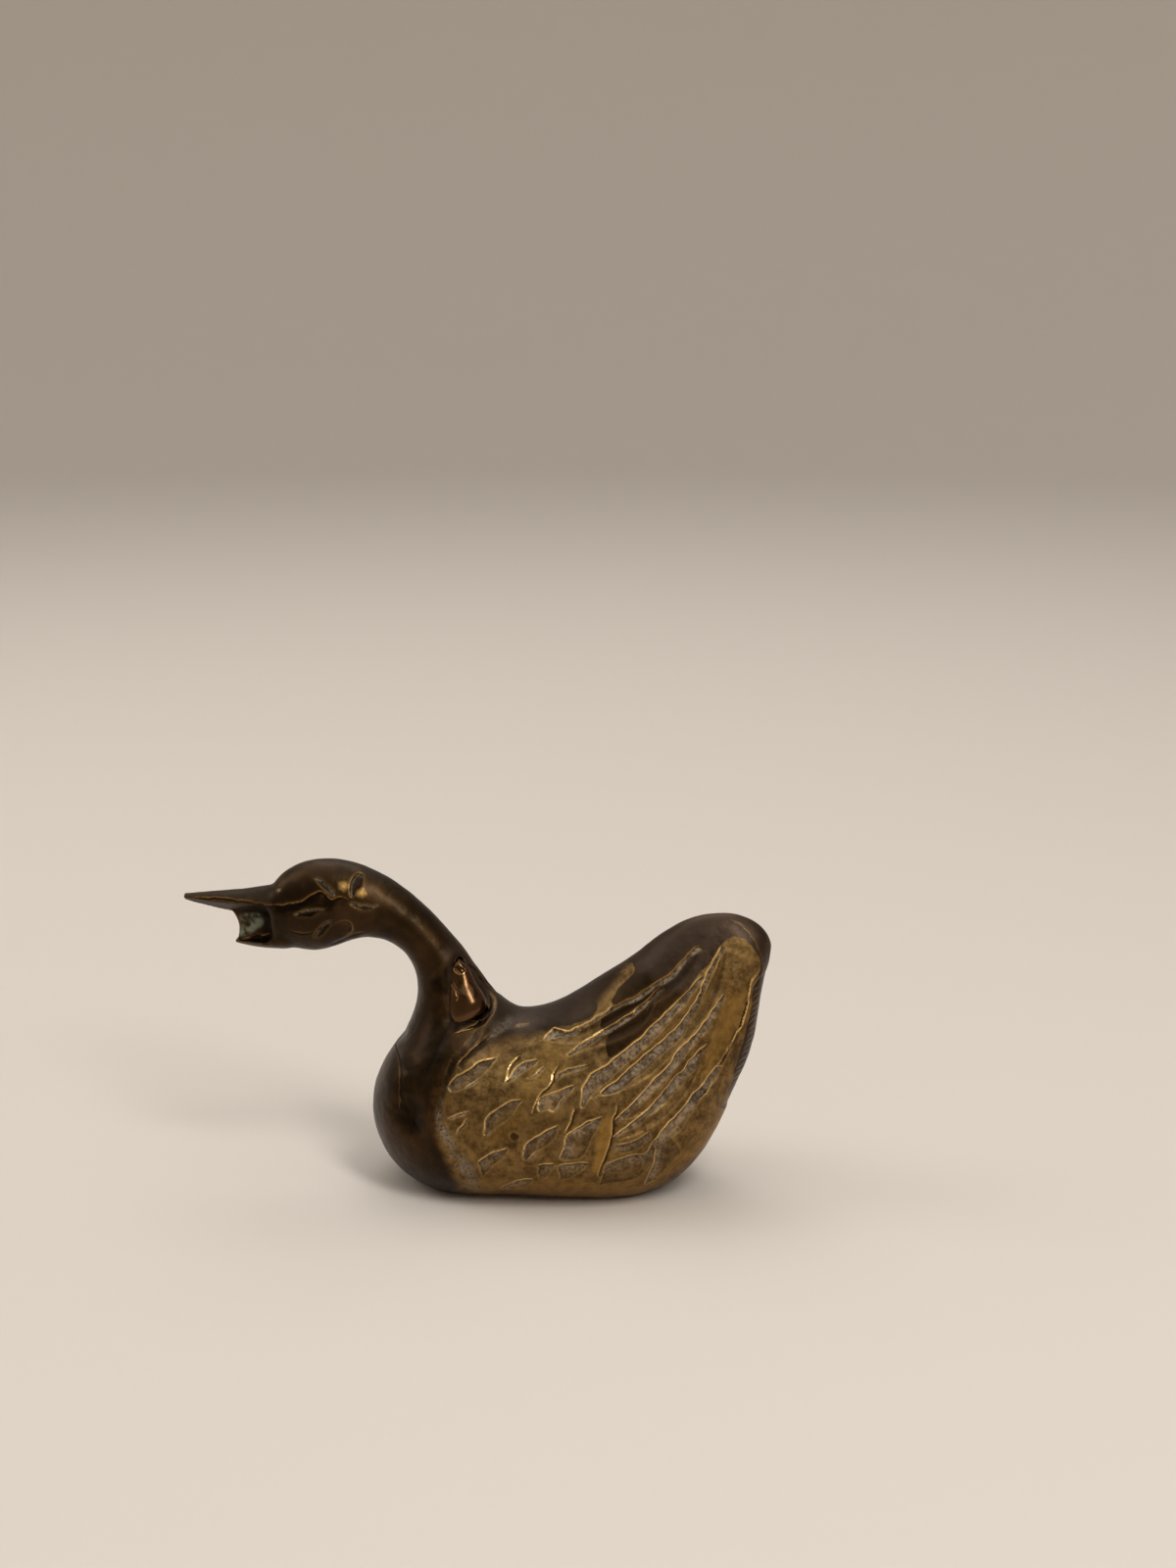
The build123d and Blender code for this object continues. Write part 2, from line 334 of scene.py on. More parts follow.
class Neighbours:
    """Which points of a quad mesh are joined, for smoothing."""

    def __init__(self, count, quads):
        pairs = np.unique(np.sort(edges_of(quads), axis=1), axis=0)
        self.start = np.concatenate([pairs[:, 0], pairs[:, 1]])
        self.end = np.concatenate([pairs[:, 1], pairs[:, 0]])
        self.count = count
        self.degree = np.maximum(np.bincount(self.start, minlength=count), 1)

    def pull(self, values):
        """How far the mean of each point's neighbours lies from its own value."""
        if values.ndim == 1:
            apart = values[self.end] - values[self.start]
            return np.bincount(self.start, apart, self.count) / self.degree
        return np.stack([self.pull(column) for column in values.T], axis=1)

    def only(self, chosen):
        """The same joints, but only those of some chosen points."""
        fewer = Neighbours.__new__(Neighbours)
        keep = chosen[self.start]
        fewer.start, fewer.end = self.start[keep], self.end[keep]
        fewer.count, fewer.degree = self.count, self.degree
        return fewer

    def smoothed(self, values, rounds, share=0.5):
        """Moved towards the neighbours' mean, round after round."""
        for _ in range(rounds):
            values = values + share * self.pull(values)
        return values

    def faired(self, values, rounds):
        """Smoothed with little shrinking: a step in, then a slightly longer step out."""
        for _ in range(rounds):
            values = values + 0.50 * self.pull(values)
            values = values - 0.52 * self.pull(values)
        return values


def point_normals(points, quads):
    """Unit normals of a quad mesh's points."""
    corners = points[quads]
    cross = np.cross(corners[:, 2] - corners[:, 0], corners[:, 3] - corners[:, 1])
    total = np.zeros_like(points)
    for corner in range(4):
        for axis in range(3):
            total[:, axis] += np.bincount(quads[:, corner], cross[:, axis], len(points))
    return total / np.maximum(np.linalg.norm(total, axis=1), 1e-12)[:, None]


cad_points, cad_polygons, cad_owners = joined(skin_castings)
plug_points, plug_faces = vent_plug()
plugged = cad_polygons + [tuple(index + len(cad_points) for index in face) for face in plug_faces]
skin_points, skin_quads = voxel_skin(np.concatenate([cad_points, plug_points]), plugged, skin_voxel)
print("skin:", len(skin_points), "points,", len(skin_quads), "quads")

# %% [markdown]
# ## From pixels to the metal
#
# A chisel mark is easiest to place where it is seen. The camera turns every point of the skin into a
# pixel of the photograph, so a cut can be drawn flat, as on a print laid over the bird, and the skin's
# points read from it how deep they go. The unseen flank is the same bird in a mirror: its points are
# folded over to the left before they are turned into pixels.

# %% The skin as the camera sees it


def seen_at(points):
    """The pixel where each point shows, and the direction of its ray."""
    ray = points * mm - eye
    depth = ray @ ahead
    pixels = np.stack([frame_px[0] / 2 + focal_px * (ray @ across) / depth,
                       frame_px[1] / 2 - focal_px * (ray @ upward) / depth], axis=1)
    return pixels, ray / np.linalg.norm(ray, axis=1)[:, None]


facing_fade = 0.15
tremor_px = 1.3
tremor_length = 0.9
tremor_offsets = (Vector((0.0, 0.0, 0.0)), Vector((7.3, 3.1, 5.7)))


class Blank:
    """A skin under the chisel: its points, where they show, and what has been done to them."""

    def __init__(self, points, quads):
        self.points = points
        self.quads = quads
        self.links = Neighbours(len(points), quads)
        self.sink = np.zeros(len(points))
        self.marks = {}
        spots = map(Vector, np.abs(points) / tremor_length)
        self.tremor = tremor_px * np.array([[noise.noise(spot + offset) for offset in tremor_offsets]
                                            for spot in spots])
        self.look()

    def look(self):
        """Turns the points into pixels, both flanks as the left one."""
        self.normals = point_normals(self.points, self.quads)
        self.turn = np.where(self.points[:, 1:2] > 0, [[1.0, -1.0, 1.0]], [[1.0, 1.0, 1.0]])
        self.folded = self.points * self.turn
        self.pixels, rays = seen_at(self.folded)
        self.pixels += self.tremor
        self.facing = np.clip(-(self.normals * self.turn * rays).sum(1) / facing_fade, 0, 1)

    def mark(self, name, index, value):
        """Keeps the strongest of a mark's values on each point."""
        stored = self.marks.setdefault(name, np.zeros(len(self.points)))
        stored[index] = np.maximum(stored[index], value * self.facing[index])

    def cut(self, index, depth):
        """Keeps the deepest of the cuts on each point."""
        self.sink[index] = np.maximum(self.sink[index], depth * self.facing[index])

    def near(self, outline, margin, all_round=False):
        """The points near an outline's box, all of them or those that face the camera."""
        low, high = outline.min(0) - margin, outline.max(0) + margin
        faces = np.ones(len(self.points), bool) if all_round else self.facing > 0
        return np.nonzero(((self.pixels > low) & (self.pixels < high)).all(1) & faces)[0]


blank = Blank(skin_points, skin_quads)
print("points that face the camera:", int((blank.facing > 0).sum()))

# %% [markdown]
# ## Drawing a cut
#
# The marks were read off enlargements of the photograph. Each enlargement has a corner and a scale,
# so the numbers below are places on that enlargement, as a ruler laid on the print would give them.
# A smooth curve runs through the few marks of each line, and small functions measure from it.

# %% Enlargements, curves and distances
head_print = ((180, 865), 6.533)
neck_print = ((370, 940), 9.8)
breast_print = ((370, 1040), 8.25)
coverts_print = ((430, 1030), 7.467)
primaries_print = ((560, 920), 5.058)
outline_gap = 4.0


def drawn(print_read, marks, gap=2.0):
    """A smooth curve through marks read off an enlargement, a point about every gap of pixels."""
    corner, scale = print_read
    marks = np.array(marks, float) / scale + corner
    padded = np.concatenate([[2 * marks[0] - marks[1]], marks, [2 * marks[-1] - marks[-2]]])
    curve = []
    for before, start, end, after in zip(padded, padded[1:], padded[2:], padded[3:]):
        count = max(round(np.linalg.norm(end - start) / gap), 1)
        t = (np.arange(count) / count)[:, None]
        curve.append(0.5 * (2 * start + (end - before) * t
                            + (2 * before - 5 * start + 4 * end - after) * t ** 2
                            + (3 * start - before - 3 * end + after) * t ** 3))
    return np.concatenate(curve + [marks[-1:]])


def closed(print_read, marks):
    """A closed outline through marks read off an enlargement."""
    return drawn(print_read, marks + marks[:1], outline_gap)


def measure(places, line, reach=14.0):
    """For each place: its distance from a line, the side it is on, and how far along, from 0 to 1."""
    best = np.full(len(places), float(reach))
    side, along = np.zeros(len(places)), np.zeros(len(places))
    travelled = 0.0
    for start, end in zip(line, line[1:]):
        run = end - start
        length = max(math.hypot(*run), 1e-9)
        low, high = np.minimum(start, end) - reach, np.maximum(start, end) + reach
        rows = np.nonzero(((places > low) & (places < high)).all(1))[0]
        offset = places[rows] - start
        share = np.clip(offset @ run / length ** 2, 0, 1)
        away = offset - share[:, None] * run
        distance = np.hypot(away[:, 0], away[:, 1])
        nearer = distance < best[rows]
        rows, share, away = rows[nearer], share[nearer], away[nearer]
        best[rows] = distance[nearer]
        side[rows] = np.sign(run[0] * away[:, 1] - run[1] * away[:, 0])
        along[rows] = travelled + share * length
        travelled += length
    return best, side, along / travelled


def within(places, outline):
    """Which places lie inside a closed outline."""
    inside = np.zeros(len(places), bool)
    for start, end in zip(outline, np.roll(outline, -1, axis=0)):
        crosses = (start[1] > places[:, 1]) != (end[1] > places[:, 1])
        rise = end[1] - start[1] if end[1] != start[1] else 1e-9
        at = start[0] + (places[:, 1] - start[1]) * (end[0] - start[0]) / rise
        inside ^= crosses & (places[:, 0] < at)
    return inside


def eased(value, low, high):
    """0 below low, 1 above high, smooth between."""
    share = np.clip((value - low) / (high - low), 0, 1)
    return share * share * (3 - 2 * share)


def pointed(along, share):
    """1 in the middle of a mark and 0 at its two ends."""
    return np.sqrt(np.clip(np.minimum(along, 1 - along) / share, 0, 1))


print("points on a curve through three marks:", len(drawn(head_print, [(0, 0), (60, 20), (120, 0)])))

# %% [markdown]
# ## Four strokes
#
# A gouge makes a narrow V. A trough is a wide cut between a steep edge and a gentle one, such as the
# space between two flight feathers. A ledge is the edge of one feather laid over the next. A dent is a
# broad hollow hammered or filed into the form. Every stroke goes inward, so the duck keeps its size,
# and leaves its traces for the finish: paste, or dirt darkened with painted shade, on its floor, and at
# its edge a rim that is burnished brass with a painted highlight. A stain cuts nothing. It only says
# where a finish, a painted shade or a painted highlight lies.

# %% The strokes


def along_line(blank, print_read, marks, width):
    """The points near a drawn line, how far off they lie, on which side, and how far along."""
    line = drawn(print_read, marks)
    index = blank.near(line, width + 2)
    return index, *measure(blank.pixels[index], line)


def gouge(blank, print_read, marks, width, depth, paste=0.6, burnish_and_highlight=0.5):
    """A pointed V groove along a line."""
    index, distance, side, along = along_line(blank, print_read, marks, width)
    wide = width * np.maximum(pointed(along, 0.4), 0.25)
    floor = np.clip(1 - distance / wide, 0, 1)
    blank.cut(index, depth * floor * pointed(along, 0.3))
    blank.mark("paste", index, paste * eased(floor, 0.1, 0.6) * pointed(along, 0.2))
    # The rim along the groove is brightened: burnished brass with a painted highlight.
    rim = np.clip(1 - np.abs(distance - wide) / 0.8, 0, 1) * (side < 0)
    blank.mark("rim", index, burnish_and_highlight * rim * pointed(along, 0.3))


def trough(blank, print_read, steep, gentle, depth, paste=0.8, spread=30.0, burnish_and_highlight=1.0, rise=0.85,
           painted_shade_and_dirt=0.0):
    """A wide cut between a steep edge and a gentle one, both drawn the same way."""
    upper, lower = drawn(print_read, steep), drawn(print_read, gentle)
    outline = np.concatenate([upper, lower[::-1]])
    index = blank.near(outline, 3)
    places = blank.pixels[index]
    from_steep, _, along = measure(places, upper)
    from_gentle, _, _ = measure(places, lower)
    inside = within(places, outline)
    across_share = from_steep / (from_steep + from_gentle + 1e-6)
    floor = inside * eased(from_steep, 0, 1.3) * eased(from_gentle, 0, 1.6)
    blank.cut(index, depth * floor * (1 - rise * across_share ** 1.3))
    crust = inside * eased(from_steep, 0.2, 1.2) * eased(from_gentle, 0.2, 1.6)
    crust = crust * np.exp(-(from_steep / spread) ** 2)
    blank.mark("paste", index, paste * crust)
    # Painted shade, with some dirt, darkens the trough's floor.
    blank.mark("painted_shade_and_dirt", index, painted_shade_and_dirt * floor)
    # The rim outside the steep edge is brightened: burnished brass with a painted highlight.
    rim = ~inside * np.clip(1.25 - np.abs(from_steep - 0.35) / 0.7, 0, 1)
    blank.mark("rim", index, burnish_and_highlight * rim * pointed(along, 0.12))


def ledge(blank, print_read, marks, width, depth, burnish_and_highlight=1.0):
    """A step down to the right of the line's way, which runs out over its width."""
    index, distance, side, along = along_line(blank, print_read, marks, width)
    fall = np.where(side > 0, np.clip(1 - distance / width, 0, 1) ** 1.4, 0)
    blank.cut(index, depth * (fall * eased(distance, 0, 1.2)) * pointed(along, 0.2))
    # The rim along the step is brightened: burnished brass with a painted highlight.
    rim = np.clip(1 - distance / 1.0, 0, 1) * (side <= 0.5)
    blank.mark("rim", index, burnish_and_highlight * rim * pointed(along, 0.15))


def inside_share(places, outline, soft):
    """0 outside an outline and 1 well inside it, with a soft edge that lies on both sides of it."""
    distance, _, _ = measure(places, outline, soft + 1)
    signed = np.where(within(places, outline), distance, -distance)
    return eased(signed, -soft, soft)


def dent(blank, print_read, marks, depth, soft, name=None, all_round=False):
    """A broad hollow inside an outline, soft towards its edge. All round, it also cuts the outline."""
    outline = closed(print_read, marks)
    index = blank.near(outline, soft + 1, all_round)
    share = inside_share(blank.pixels[index], outline, soft)
    blank.sink[index] += depth * share * (1 if all_round else blank.facing[index])
    if name:
        blank.mark(name, index, share)


def stain(blank, name, print_read, marks, soft, strength=1.0):
    """A patch of finish, painted shade or painted highlight inside an outline, with a soft or a sharp edge.
    Nothing is cut.
    """
    outline = closed(print_read, marks)
    index = blank.near(outline, soft + 1)
    blank.mark(name, index, strength * inside_share(blank.pixels[index], outline, soft))


def so_far(blank, what):
    """Prints how much of the skin is cut by now."""
    print(f"{what}: {int((blank.sink > 0).sum())} points cut, deepest {blank.sink.max():.2f} mm")


so_far(blank, "before the first stroke")

# %% [markdown]
# ## Levelling the wing
#
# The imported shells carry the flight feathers' grooves as plain slots. The real ones are troughs with
# sloping floors, so the slots are first filled level, as a maker would fill them with wax and draw
# them again: wherever the skin lies below a smoothed copy of itself, it is brought up to it. The mouth's
# corner, the lower bill and the tail's side lobe are sharper than the photograph shows them, so they are
# softened by plain smoothing.

# %% Fill the plain slots


def level(blank, chosen, passes, rounds, last):
    """Brings the chosen points that lie in a dip up to a smoothed skin, several times, and fairs them."""
    field = blank.links.only(chosen)
    for _ in range(passes):
        gentle = field.smoothed(blank.points, rounds, 0.6)
        below = ((blank.points - gentle) * blank.normals).sum(1) < 0
        blank.points = np.where((chosen & below)[:, None], gentle, blank.points)
    blank.points = field.faired(blank.points, last)
    blank.look()


def behind(blank, print_read, marks):
    """Which points lie behind an outline, seen or not."""
    return within(blank.pixels, closed(print_read, marks))


slot_field = [
    (110, 760), (0, 700), (20, 640), (250, 560), (560, 380), (780, 200), (930, 200), (1010, 420),
    (980, 640), (860, 880), (700, 1090), (560, 1260), (330, 1270), (150, 1090)]
slots = behind(blank, primaries_print, slot_field)
level(blank, slots, passes=20, rounds=10, last=60)
lip_end = [(640, 600), (700, 560), (860, 580), (900, 720), (700, 740), (600, 720)]
level(blank, behind(blank, head_print, lip_end), passes=14, rounds=10, last=10)
mouth_inside = [(565, 385), (720, 385), (740, 520), (720, 600), (565, 640)]
lower_bill = [(640, 610), (860, 600), (900, 740), (640, 740)]
tail_lobe = [(800, 800), (870, 790), (895, 880), (893, 960), (890, 1040), (860, 1100), (800, 1010)]
for print_read, patch, rounds in [(head_print, mouth_inside, 110), (head_print, lower_bill, 50),
                                  (primaries_print, tail_lobe, 70)]:
    blank.points = blank.links.only(behind(blank, print_read, patch)).smoothed(blank.points, rounds)
blank.look()
bill_root = [(540, 200), (680, 180), (800, 200), (800, 360), (700, 372), (560, 360)]
level(blank, behind(blank, head_print, bill_root), passes=8, rounds=8, last=8)
print("points in the filled field:", int(slots.sum()))

# %% [markdown]
# ## The flight feathers
#
# Seven long troughs sweep up the rear of the wing. Each has a steep upper edge, where a thin gold line
# is painted as a highlight over burnished brass, and a floor that climbs to the next feather's back.
# Polishing paste has dried on the floors. Each trough is drawn by its two edges, from its lower end to
# its upper one.

# %% Long troughs of the wing
flight_depth = 1.15
flight_paste = 0.75
flight_troughs = [  # steep edge, gentle edge, depth in mm, paste
    ([(-28, 708), (0, 680), (22, 655), (52, 660), (90, 670), (140, 650), (185, 630), (250, 590), (320, 550),
      (390, 515), (460, 478), (510, 445), (560, 413), (620, 375), (670, 325), (715, 275), (750, 238),
      (785, 230)],
     [(-20, 716), (20, 714), (60, 712), (110, 700), (170, 668), (230, 628), (290, 592), (350, 560),
      (410, 535), (470, 510), (520, 478), (560, 448), (610, 425), (660, 385), (700, 335), (740, 285),
      (800, 255)], 0.30, 1.0),
    ([(95, 792), (150, 745), (200, 710), (262, 672), (330, 633), (390, 598), (435, 566), (480, 530),
      (520, 498), (550, 465), (575, 448)],
     [(104, 800), (150, 778), (210, 742), (270, 707), (330, 674), (380, 642), (430, 606), (480, 562),
      (530, 520), (575, 482), (600, 452)], 0.30, 1.0),
    ([(165, 1055), (180, 960), (205, 905), (235, 882), (270, 862), (350, 800), (440, 730), (480, 700),
      (515, 660), (560, 618), (610, 570), (660, 520), (700, 480), (745, 430), (792, 385)],
     [(178, 1062), (230, 988), (290, 942), (350, 890), (410, 832), (470, 782), (520, 737), (570, 690),
      (610, 642), (650, 592), (700, 547), (740, 492), (772, 440), (800, 398)], 0.42, 1.0),
    ([(270, 985), (300, 955), (345, 930), (372, 908), (420, 860), (500, 790), (560, 740), (620, 690),
      (655, 655), (690, 618), (715, 588), (745, 540), (775, 480), (800, 410), (830, 345), (860, 290),
      (895, 225)],
     [(290, 1002), (340, 992), (400, 947), (450, 907), (500, 870), (550, 822), (600, 777), (650, 732),
      (692, 690), (714, 642), (730, 612), (762, 570), (792, 507), (817, 432), (847, 362), (880, 302),
      (912, 240)], 0.38, 1.0),
    ([(345, 1135), (380, 1092), (430, 1050), (470, 1000), (520, 950), (570, 893), (620, 850), (660, 782),
      (700, 738), (760, 680), (820, 600), (860, 540), (905, 482)],
     [(352, 1150), (400, 1112), (450, 1077), (500, 1032), (550, 987), (600, 942), (650, 882), (690, 832),
      (732, 772), (782, 722), (822, 667), (862, 602), (892, 547), (912, 490)], 0.34, 0.8),
    ([(330, 1225), (370, 1188), (420, 1148), (480, 1098), (540, 1046), (590, 986), (650, 916), (690, 876),
      (720, 836), (760, 788), (810, 738)],
     [(335, 1242), (400, 1194), (450, 1167), (510, 1118), (570, 1072), (630, 1012), (680, 952), (712, 912),
      (762, 862), (784, 812), (815, 750)], 0.32, 0.8),
    ([(545, 1240), (600, 1170), (650, 1113), (700, 1055), (740, 1008), (785, 958), (830, 903), (868, 856),
      (892, 856)],
     [(560, 1310), (620, 1245), (680, 1182), (724, 1114), (772, 1052), (812, 988), (852, 932), (882, 887),
      (896, 860)],
     0.30, 0.75),
]
for steep, gentle, depth, paste in flight_troughs:
    trough(blank, primaries_print, steep, gentle, depth * flight_depth, paste * flight_paste, spread=13,
           burnish_and_highlight=1.6)
so_far(blank, "long troughs")

# %% The wing's rear margin, the gold bar and the lower feathers
rear_ridge = [
    (868, 850), (905, 798), (940, 742), (966, 690), (998, 640), (1022, 560), (1036, 470), (1050, 408),
    (1085, 355)]
tail_rim = [(1100, 400), (1105, 320), (1085, 250), (1050, 190), (1000, 125), (930, 85)]
bar_edge = [
    (350, 1045), (345, 1095), (334, 1120), (328, 1180), (316, 1240), (290, 1320), (266, 1385), (254, 1420)]
lower_feathers = [  # steep edge, gentle edge, depth in mm, paste
    ([(300, 1362), (360, 1332), (430, 1312), (500, 1300), (545, 1240)],
     [(262, 1470), (330, 1455), (430, 1440), (500, 1400), (545, 1330)], 0.26, 0.5),
    ([(335, 1262), (380, 1256), (440, 1240), (520, 1190)],
     [(322, 1292), (380, 1300), (440, 1290), (530, 1225)], 0.22, 0.3),
    ([(498, 1462), (524, 1400), (545, 1340), (556, 1275)],
     [(560, 1430), (620, 1370), (680, 1290), (640, 1215)], 0.24, 0.55),
]
# The rear margin's ridge carries a strong painted highlight over burnished brass.
ledge(blank, primaries_print, rear_ridge[::-1], width=14, depth=0.14, burnish_and_highlight=1.6)
ledge(blank, primaries_print, tail_rim[::-1], width=12, depth=0.06, burnish_and_highlight=0.3)
ledge(blank, primaries_print, bar_edge[::-1], width=12, depth=0.34)
for steep, gentle, depth, paste in lower_feathers:
    trough(blank, primaries_print, steep, gentle, depth, paste, spread=9, burnish_and_highlight=0.6, painted_shade_and_dirt=0.4)
rear_valley = [
    (905, 520), (960, 470), (1010, 500), (995, 610), (950, 690), (900, 780), (840, 860), (780, 920),
    (762, 900), (805, 820), (850, 720), (885, 610)]
dent(blank, primaries_print, rear_valley, depth=0.30, soft=8)
# Brighter gold in the valley behind the margin, partly worn brass and partly a painted highlight.
stain(blank, "glow", primaries_print, rear_valley, soft=8, strength=0.6)
so_far(blank, "rear margin and lower feathers")

# %% The hatching on the lobe behind the wing
hatch_start, hatch_end, hatch_count = (1052, 470), (945, 930), 15
hatch_lean, hatch_length = (0.82, -0.57), 46
hatch_bow = 26
for k in range(hatch_count):
    share = k / (hatch_count - 1)
    bow = hatch_bow * math.sin(math.pi * share)
    x = hatch_start[0] + (hatch_end[0] - hatch_start[0]) * share + bow
    y = hatch_start[1] + (hatch_end[1] - hatch_start[1]) * share
    hatch = [(x, y), (x + hatch_lean[0] * hatch_length, y + hatch_lean[1] * hatch_length)]
    gouge(blank, primaries_print, hatch, width=1.1, depth=0.12, paste=0.15, burnish_and_highlight=0.25)
so_far(blank, "hatching")

# %% [markdown]
# ## The coverts
#
# The front of the wing is covered with short leaf-shaped cuts that imitate the covert feathers. They
# could be one repeated pattern, but a hand made them, so each leaf keeps the place, length and lean
# that it has in the photograph. Painted shade darkens their floors. Wavy ridges run down between them,
# rubbed bright and carrying a painted highlight, and low on the wing shows the round end of a core pin.

# %% Leaves and ridges of the coverts
covert_depth = 0.9
least_paste, more_paste = 0.15, 0.55
covert_leaves = [  # steep edge, gentle edge, depth in mm, paste
    ([(200, 590), (250, 530), (320, 480), (400, 430), (480, 385), (562, 374)],
     [(240, 640), (320, 610), (390, 570), (450, 520), (505, 460), (548, 400)], 0.34, 0.25),
    ([(640, 555), (690, 480), (735, 430), (800, 395), (888, 386)],
     [(662, 562), (722, 522), (792, 474), (852, 434), (892, 396)], 0.32, 0.95),
    ([(1020, 532), (1050, 490), (1110, 458), (1180, 438), (1270, 424)],
     [(1042, 542), (1092, 504), (1152, 478), (1232, 458), (1274, 434)], 0.22, 0.7),
    ([(885, 735), (905, 680), (960, 650), (1040, 620), (1100, 595), (1162, 577)],
     [(896, 792), (960, 775), (1020, 780), (1080, 722), (1130, 652), (1164, 592)], 0.34, 0.5),
    ([(478, 945), (488, 860), (510, 810), (560, 768), (640, 714), (700, 693), (762, 687)],
     [(492, 978), (560, 922), (620, 872), (680, 822), (722, 762), (766, 702)], 0.30, 0.45),
    ([(775, 1112), (795, 1040), (850, 990), (920, 948), (980, 913), (1046, 886)],
     [(802, 1152), (850, 1130), (884, 1084), (960, 1040), (1022, 962), (1050, 896)], 0.30, 0.45),
    ([(435, 1170), (500, 1115), (570, 1088), (655, 1062)],
     [(470, 1282), (540, 1205), (600, 1152), (640, 1112), (660, 1070)], 0.28, 0.6),
    ([(600, 1372), (660, 1333), (750, 1303), (850, 1297)],
     [(640, 1380), (720, 1372), (800, 1352), (854, 1303)], 0.24, 0.7),
    ([(1055, 1138), (1088, 1060), (1108, 962), (1180, 913), (1270, 863), (1380, 820)],
     [(1092, 1152), (1190, 1142), (1262, 1082), (1302, 982), (1352, 892), (1384, 830)], 0.36, 1.0),
    ([(1045, 1200), (1100, 1183), (1180, 1178), (1278, 1172)],
     [(1062, 1302), (1130, 1292), (1202, 1242), (1280, 1182)], 0.30, 0.55),
    ([(885, 1190), (940, 1180), (1005, 1182)],
     [(900, 1300), (960, 1280), (1012, 1200)], 0.24, 0.2),
]
for steep, gentle, depth, paste in covert_leaves:
    crust = least_paste + more_paste * paste
    trough(blank, coverts_print, steep, gentle, depth * covert_depth, crust, spread=9, burnish_and_highlight=0.9, painted_shade_and_dirt=0.25)

covert_ridges = [
    [(755, 348), (730, 360), (700, 392), (672, 440), (652, 500), (638, 548)],
    [(1045, 425), (1005, 490), (992, 540), (955, 590), (905, 640), (882, 690), (855, 740), (840, 795)],
    [(1300, 490), (1262, 540), (1238, 600), (1222, 690)],
    [(1168, 745), (1145, 820), (1115, 890), (1090, 948)],
    [(520, 180), (490, 218), (430, 270), (350, 340), (265, 432)],
]
for ridge in covert_ridges:
    ledge(blank, coverts_print, ridge[::-1], width=7, depth=0.20, burnish_and_highlight=1.2)

covert_scratches = [
    [(790, 526), (850, 515), (900, 465), (948, 422)],
    [(190, 838), (290, 808), (340, 795), (376, 770)],
    [(262, 966), (300, 905), (330, 870), (353, 826)],
    [(890, 745), (950, 682), (1010, 652), (1085, 618)],
    [(1000, 782), (1050, 735), (1112, 650)],
    [(700, 131), (780, 122), (832, 106)],
    [(818, 1152), (850, 1118), (886, 1078)],
    [(330, 602), (390, 570), (440, 532)],
    [(1080, 1010), (1150, 960), (1230, 920), (1320, 860)],
]
for scratch in covert_scratches:
    gouge(blank, coverts_print, scratch, width=1.6, depth=0.16, paste=0.6, burnish_and_highlight=0.8)
pin_middle, pin_radius = (710, 970), 28
pin_mark = [(pin_middle[0] + pin_radius * math.cos(t), pin_middle[1] + pin_radius * math.sin(t))
            for t in (0, 1.05, 2.09, 3.14, 4.19, 5.24, 6.28)]
gouge(blank, coverts_print, pin_mark, width=1.0, depth=0.12, paste=0.0, burnish_and_highlight=0.0)
so_far(blank, "coverts")

# %% [markdown]
# ## The head
#
# Five leaf cuts make a star that stands for the eye, with painted shade in the cuts and two painted
# highlights on the bumps between them. A wavy gold edge runs from the bill's tip over the cheek, partly
# a painted highlight, and the metal under it is hollowed and darkened with painted shade. The nostril
# is one small pit, still full of white paste, and the open mouth is darkened with painted shade at its
# end and green with verdigris on its floor.

# %% Eye star, cheek and bill
star_depth, star_paste = 0.6, 0.9
star_leaves = [  # steep edge, gentle edge, depth in mm, paste
    ([(918, 198), (960, 203), (1005, 235), (1052, 290), (1064, 322)],
     [(925, 212), (945, 240), (985, 280), (1022, 315), (1058, 328)], 0.40, 0.7),
    ([(1248, 178), (1215, 168), (1178, 196), (1154, 262), (1160, 332)],
     [(1256, 190), (1244, 235), (1222, 282), (1184, 328), (1164, 336)], 0.40, 0.6),
    ([(1153, 366), (1205, 370), (1255, 382), (1312, 386), (1384, 366)],
     [(1160, 384), (1192, 406), (1242, 422), (1302, 418), (1380, 376)], 0.34, 0.9),
    ([(1036, 486), (1000, 498), (958, 530), (928, 570), (912, 612)],
     [(1034, 500), (1022, 532), (990, 572), (950, 602), (916, 616)], 0.34, 0.6),
    ([(770, 456), (818, 428), (870, 417), (932, 412), (1002, 408)],
     [(778, 462), (840, 470), (902, 466), (942, 442), (1000, 416)], 0.40, 1.0),
]
for steep, gentle, depth, paste in star_leaves:
    trough(blank, head_print, steep, gentle, depth * star_depth, paste * star_paste, spread=2.2, burnish_and_highlight=0.3,
           rise=0.5, painted_shade_and_dirt=0.35)
eye_ring = [(1050, 520), (1085, 500), (1125, 490), (1165, 520), (1162, 560), (1130, 588), (1095, 575)]
gouge(blank, head_print, eye_ring, width=1.4, depth=0.16, paste=0.1, burnish_and_highlight=0.5)
nostril = [(668, 270), (680, 276), (692, 282)]
gouge(blank, head_print, nostril, width=2.4, depth=0.34, paste=1.6, burnish_and_highlight=0.2)
brow = [
    (650, 386), (720, 378), (800, 370), (850, 345), (900, 320), (950, 290), (980, 295), (1010, 330),
    (1030, 345), (1080, 330), (1120, 335), (1146, 352)]
ledge(blank, head_print, brow, width=9, depth=0.30, burnish_and_highlight=0.9)
bill_edge = [(100, 336), (180, 331), (250, 330), (330, 336), (400, 345), (500, 360), (600, 378), (655, 386)]
ledge(blank, head_print, bill_edge, width=6, depth=0.16, burnish_and_highlight=0.8)
mouth_corner = [
    (580, 400), (660, 410), (690, 480), (670, 560), (600, 640), (480, 640), (560, 600), (590, 520)]
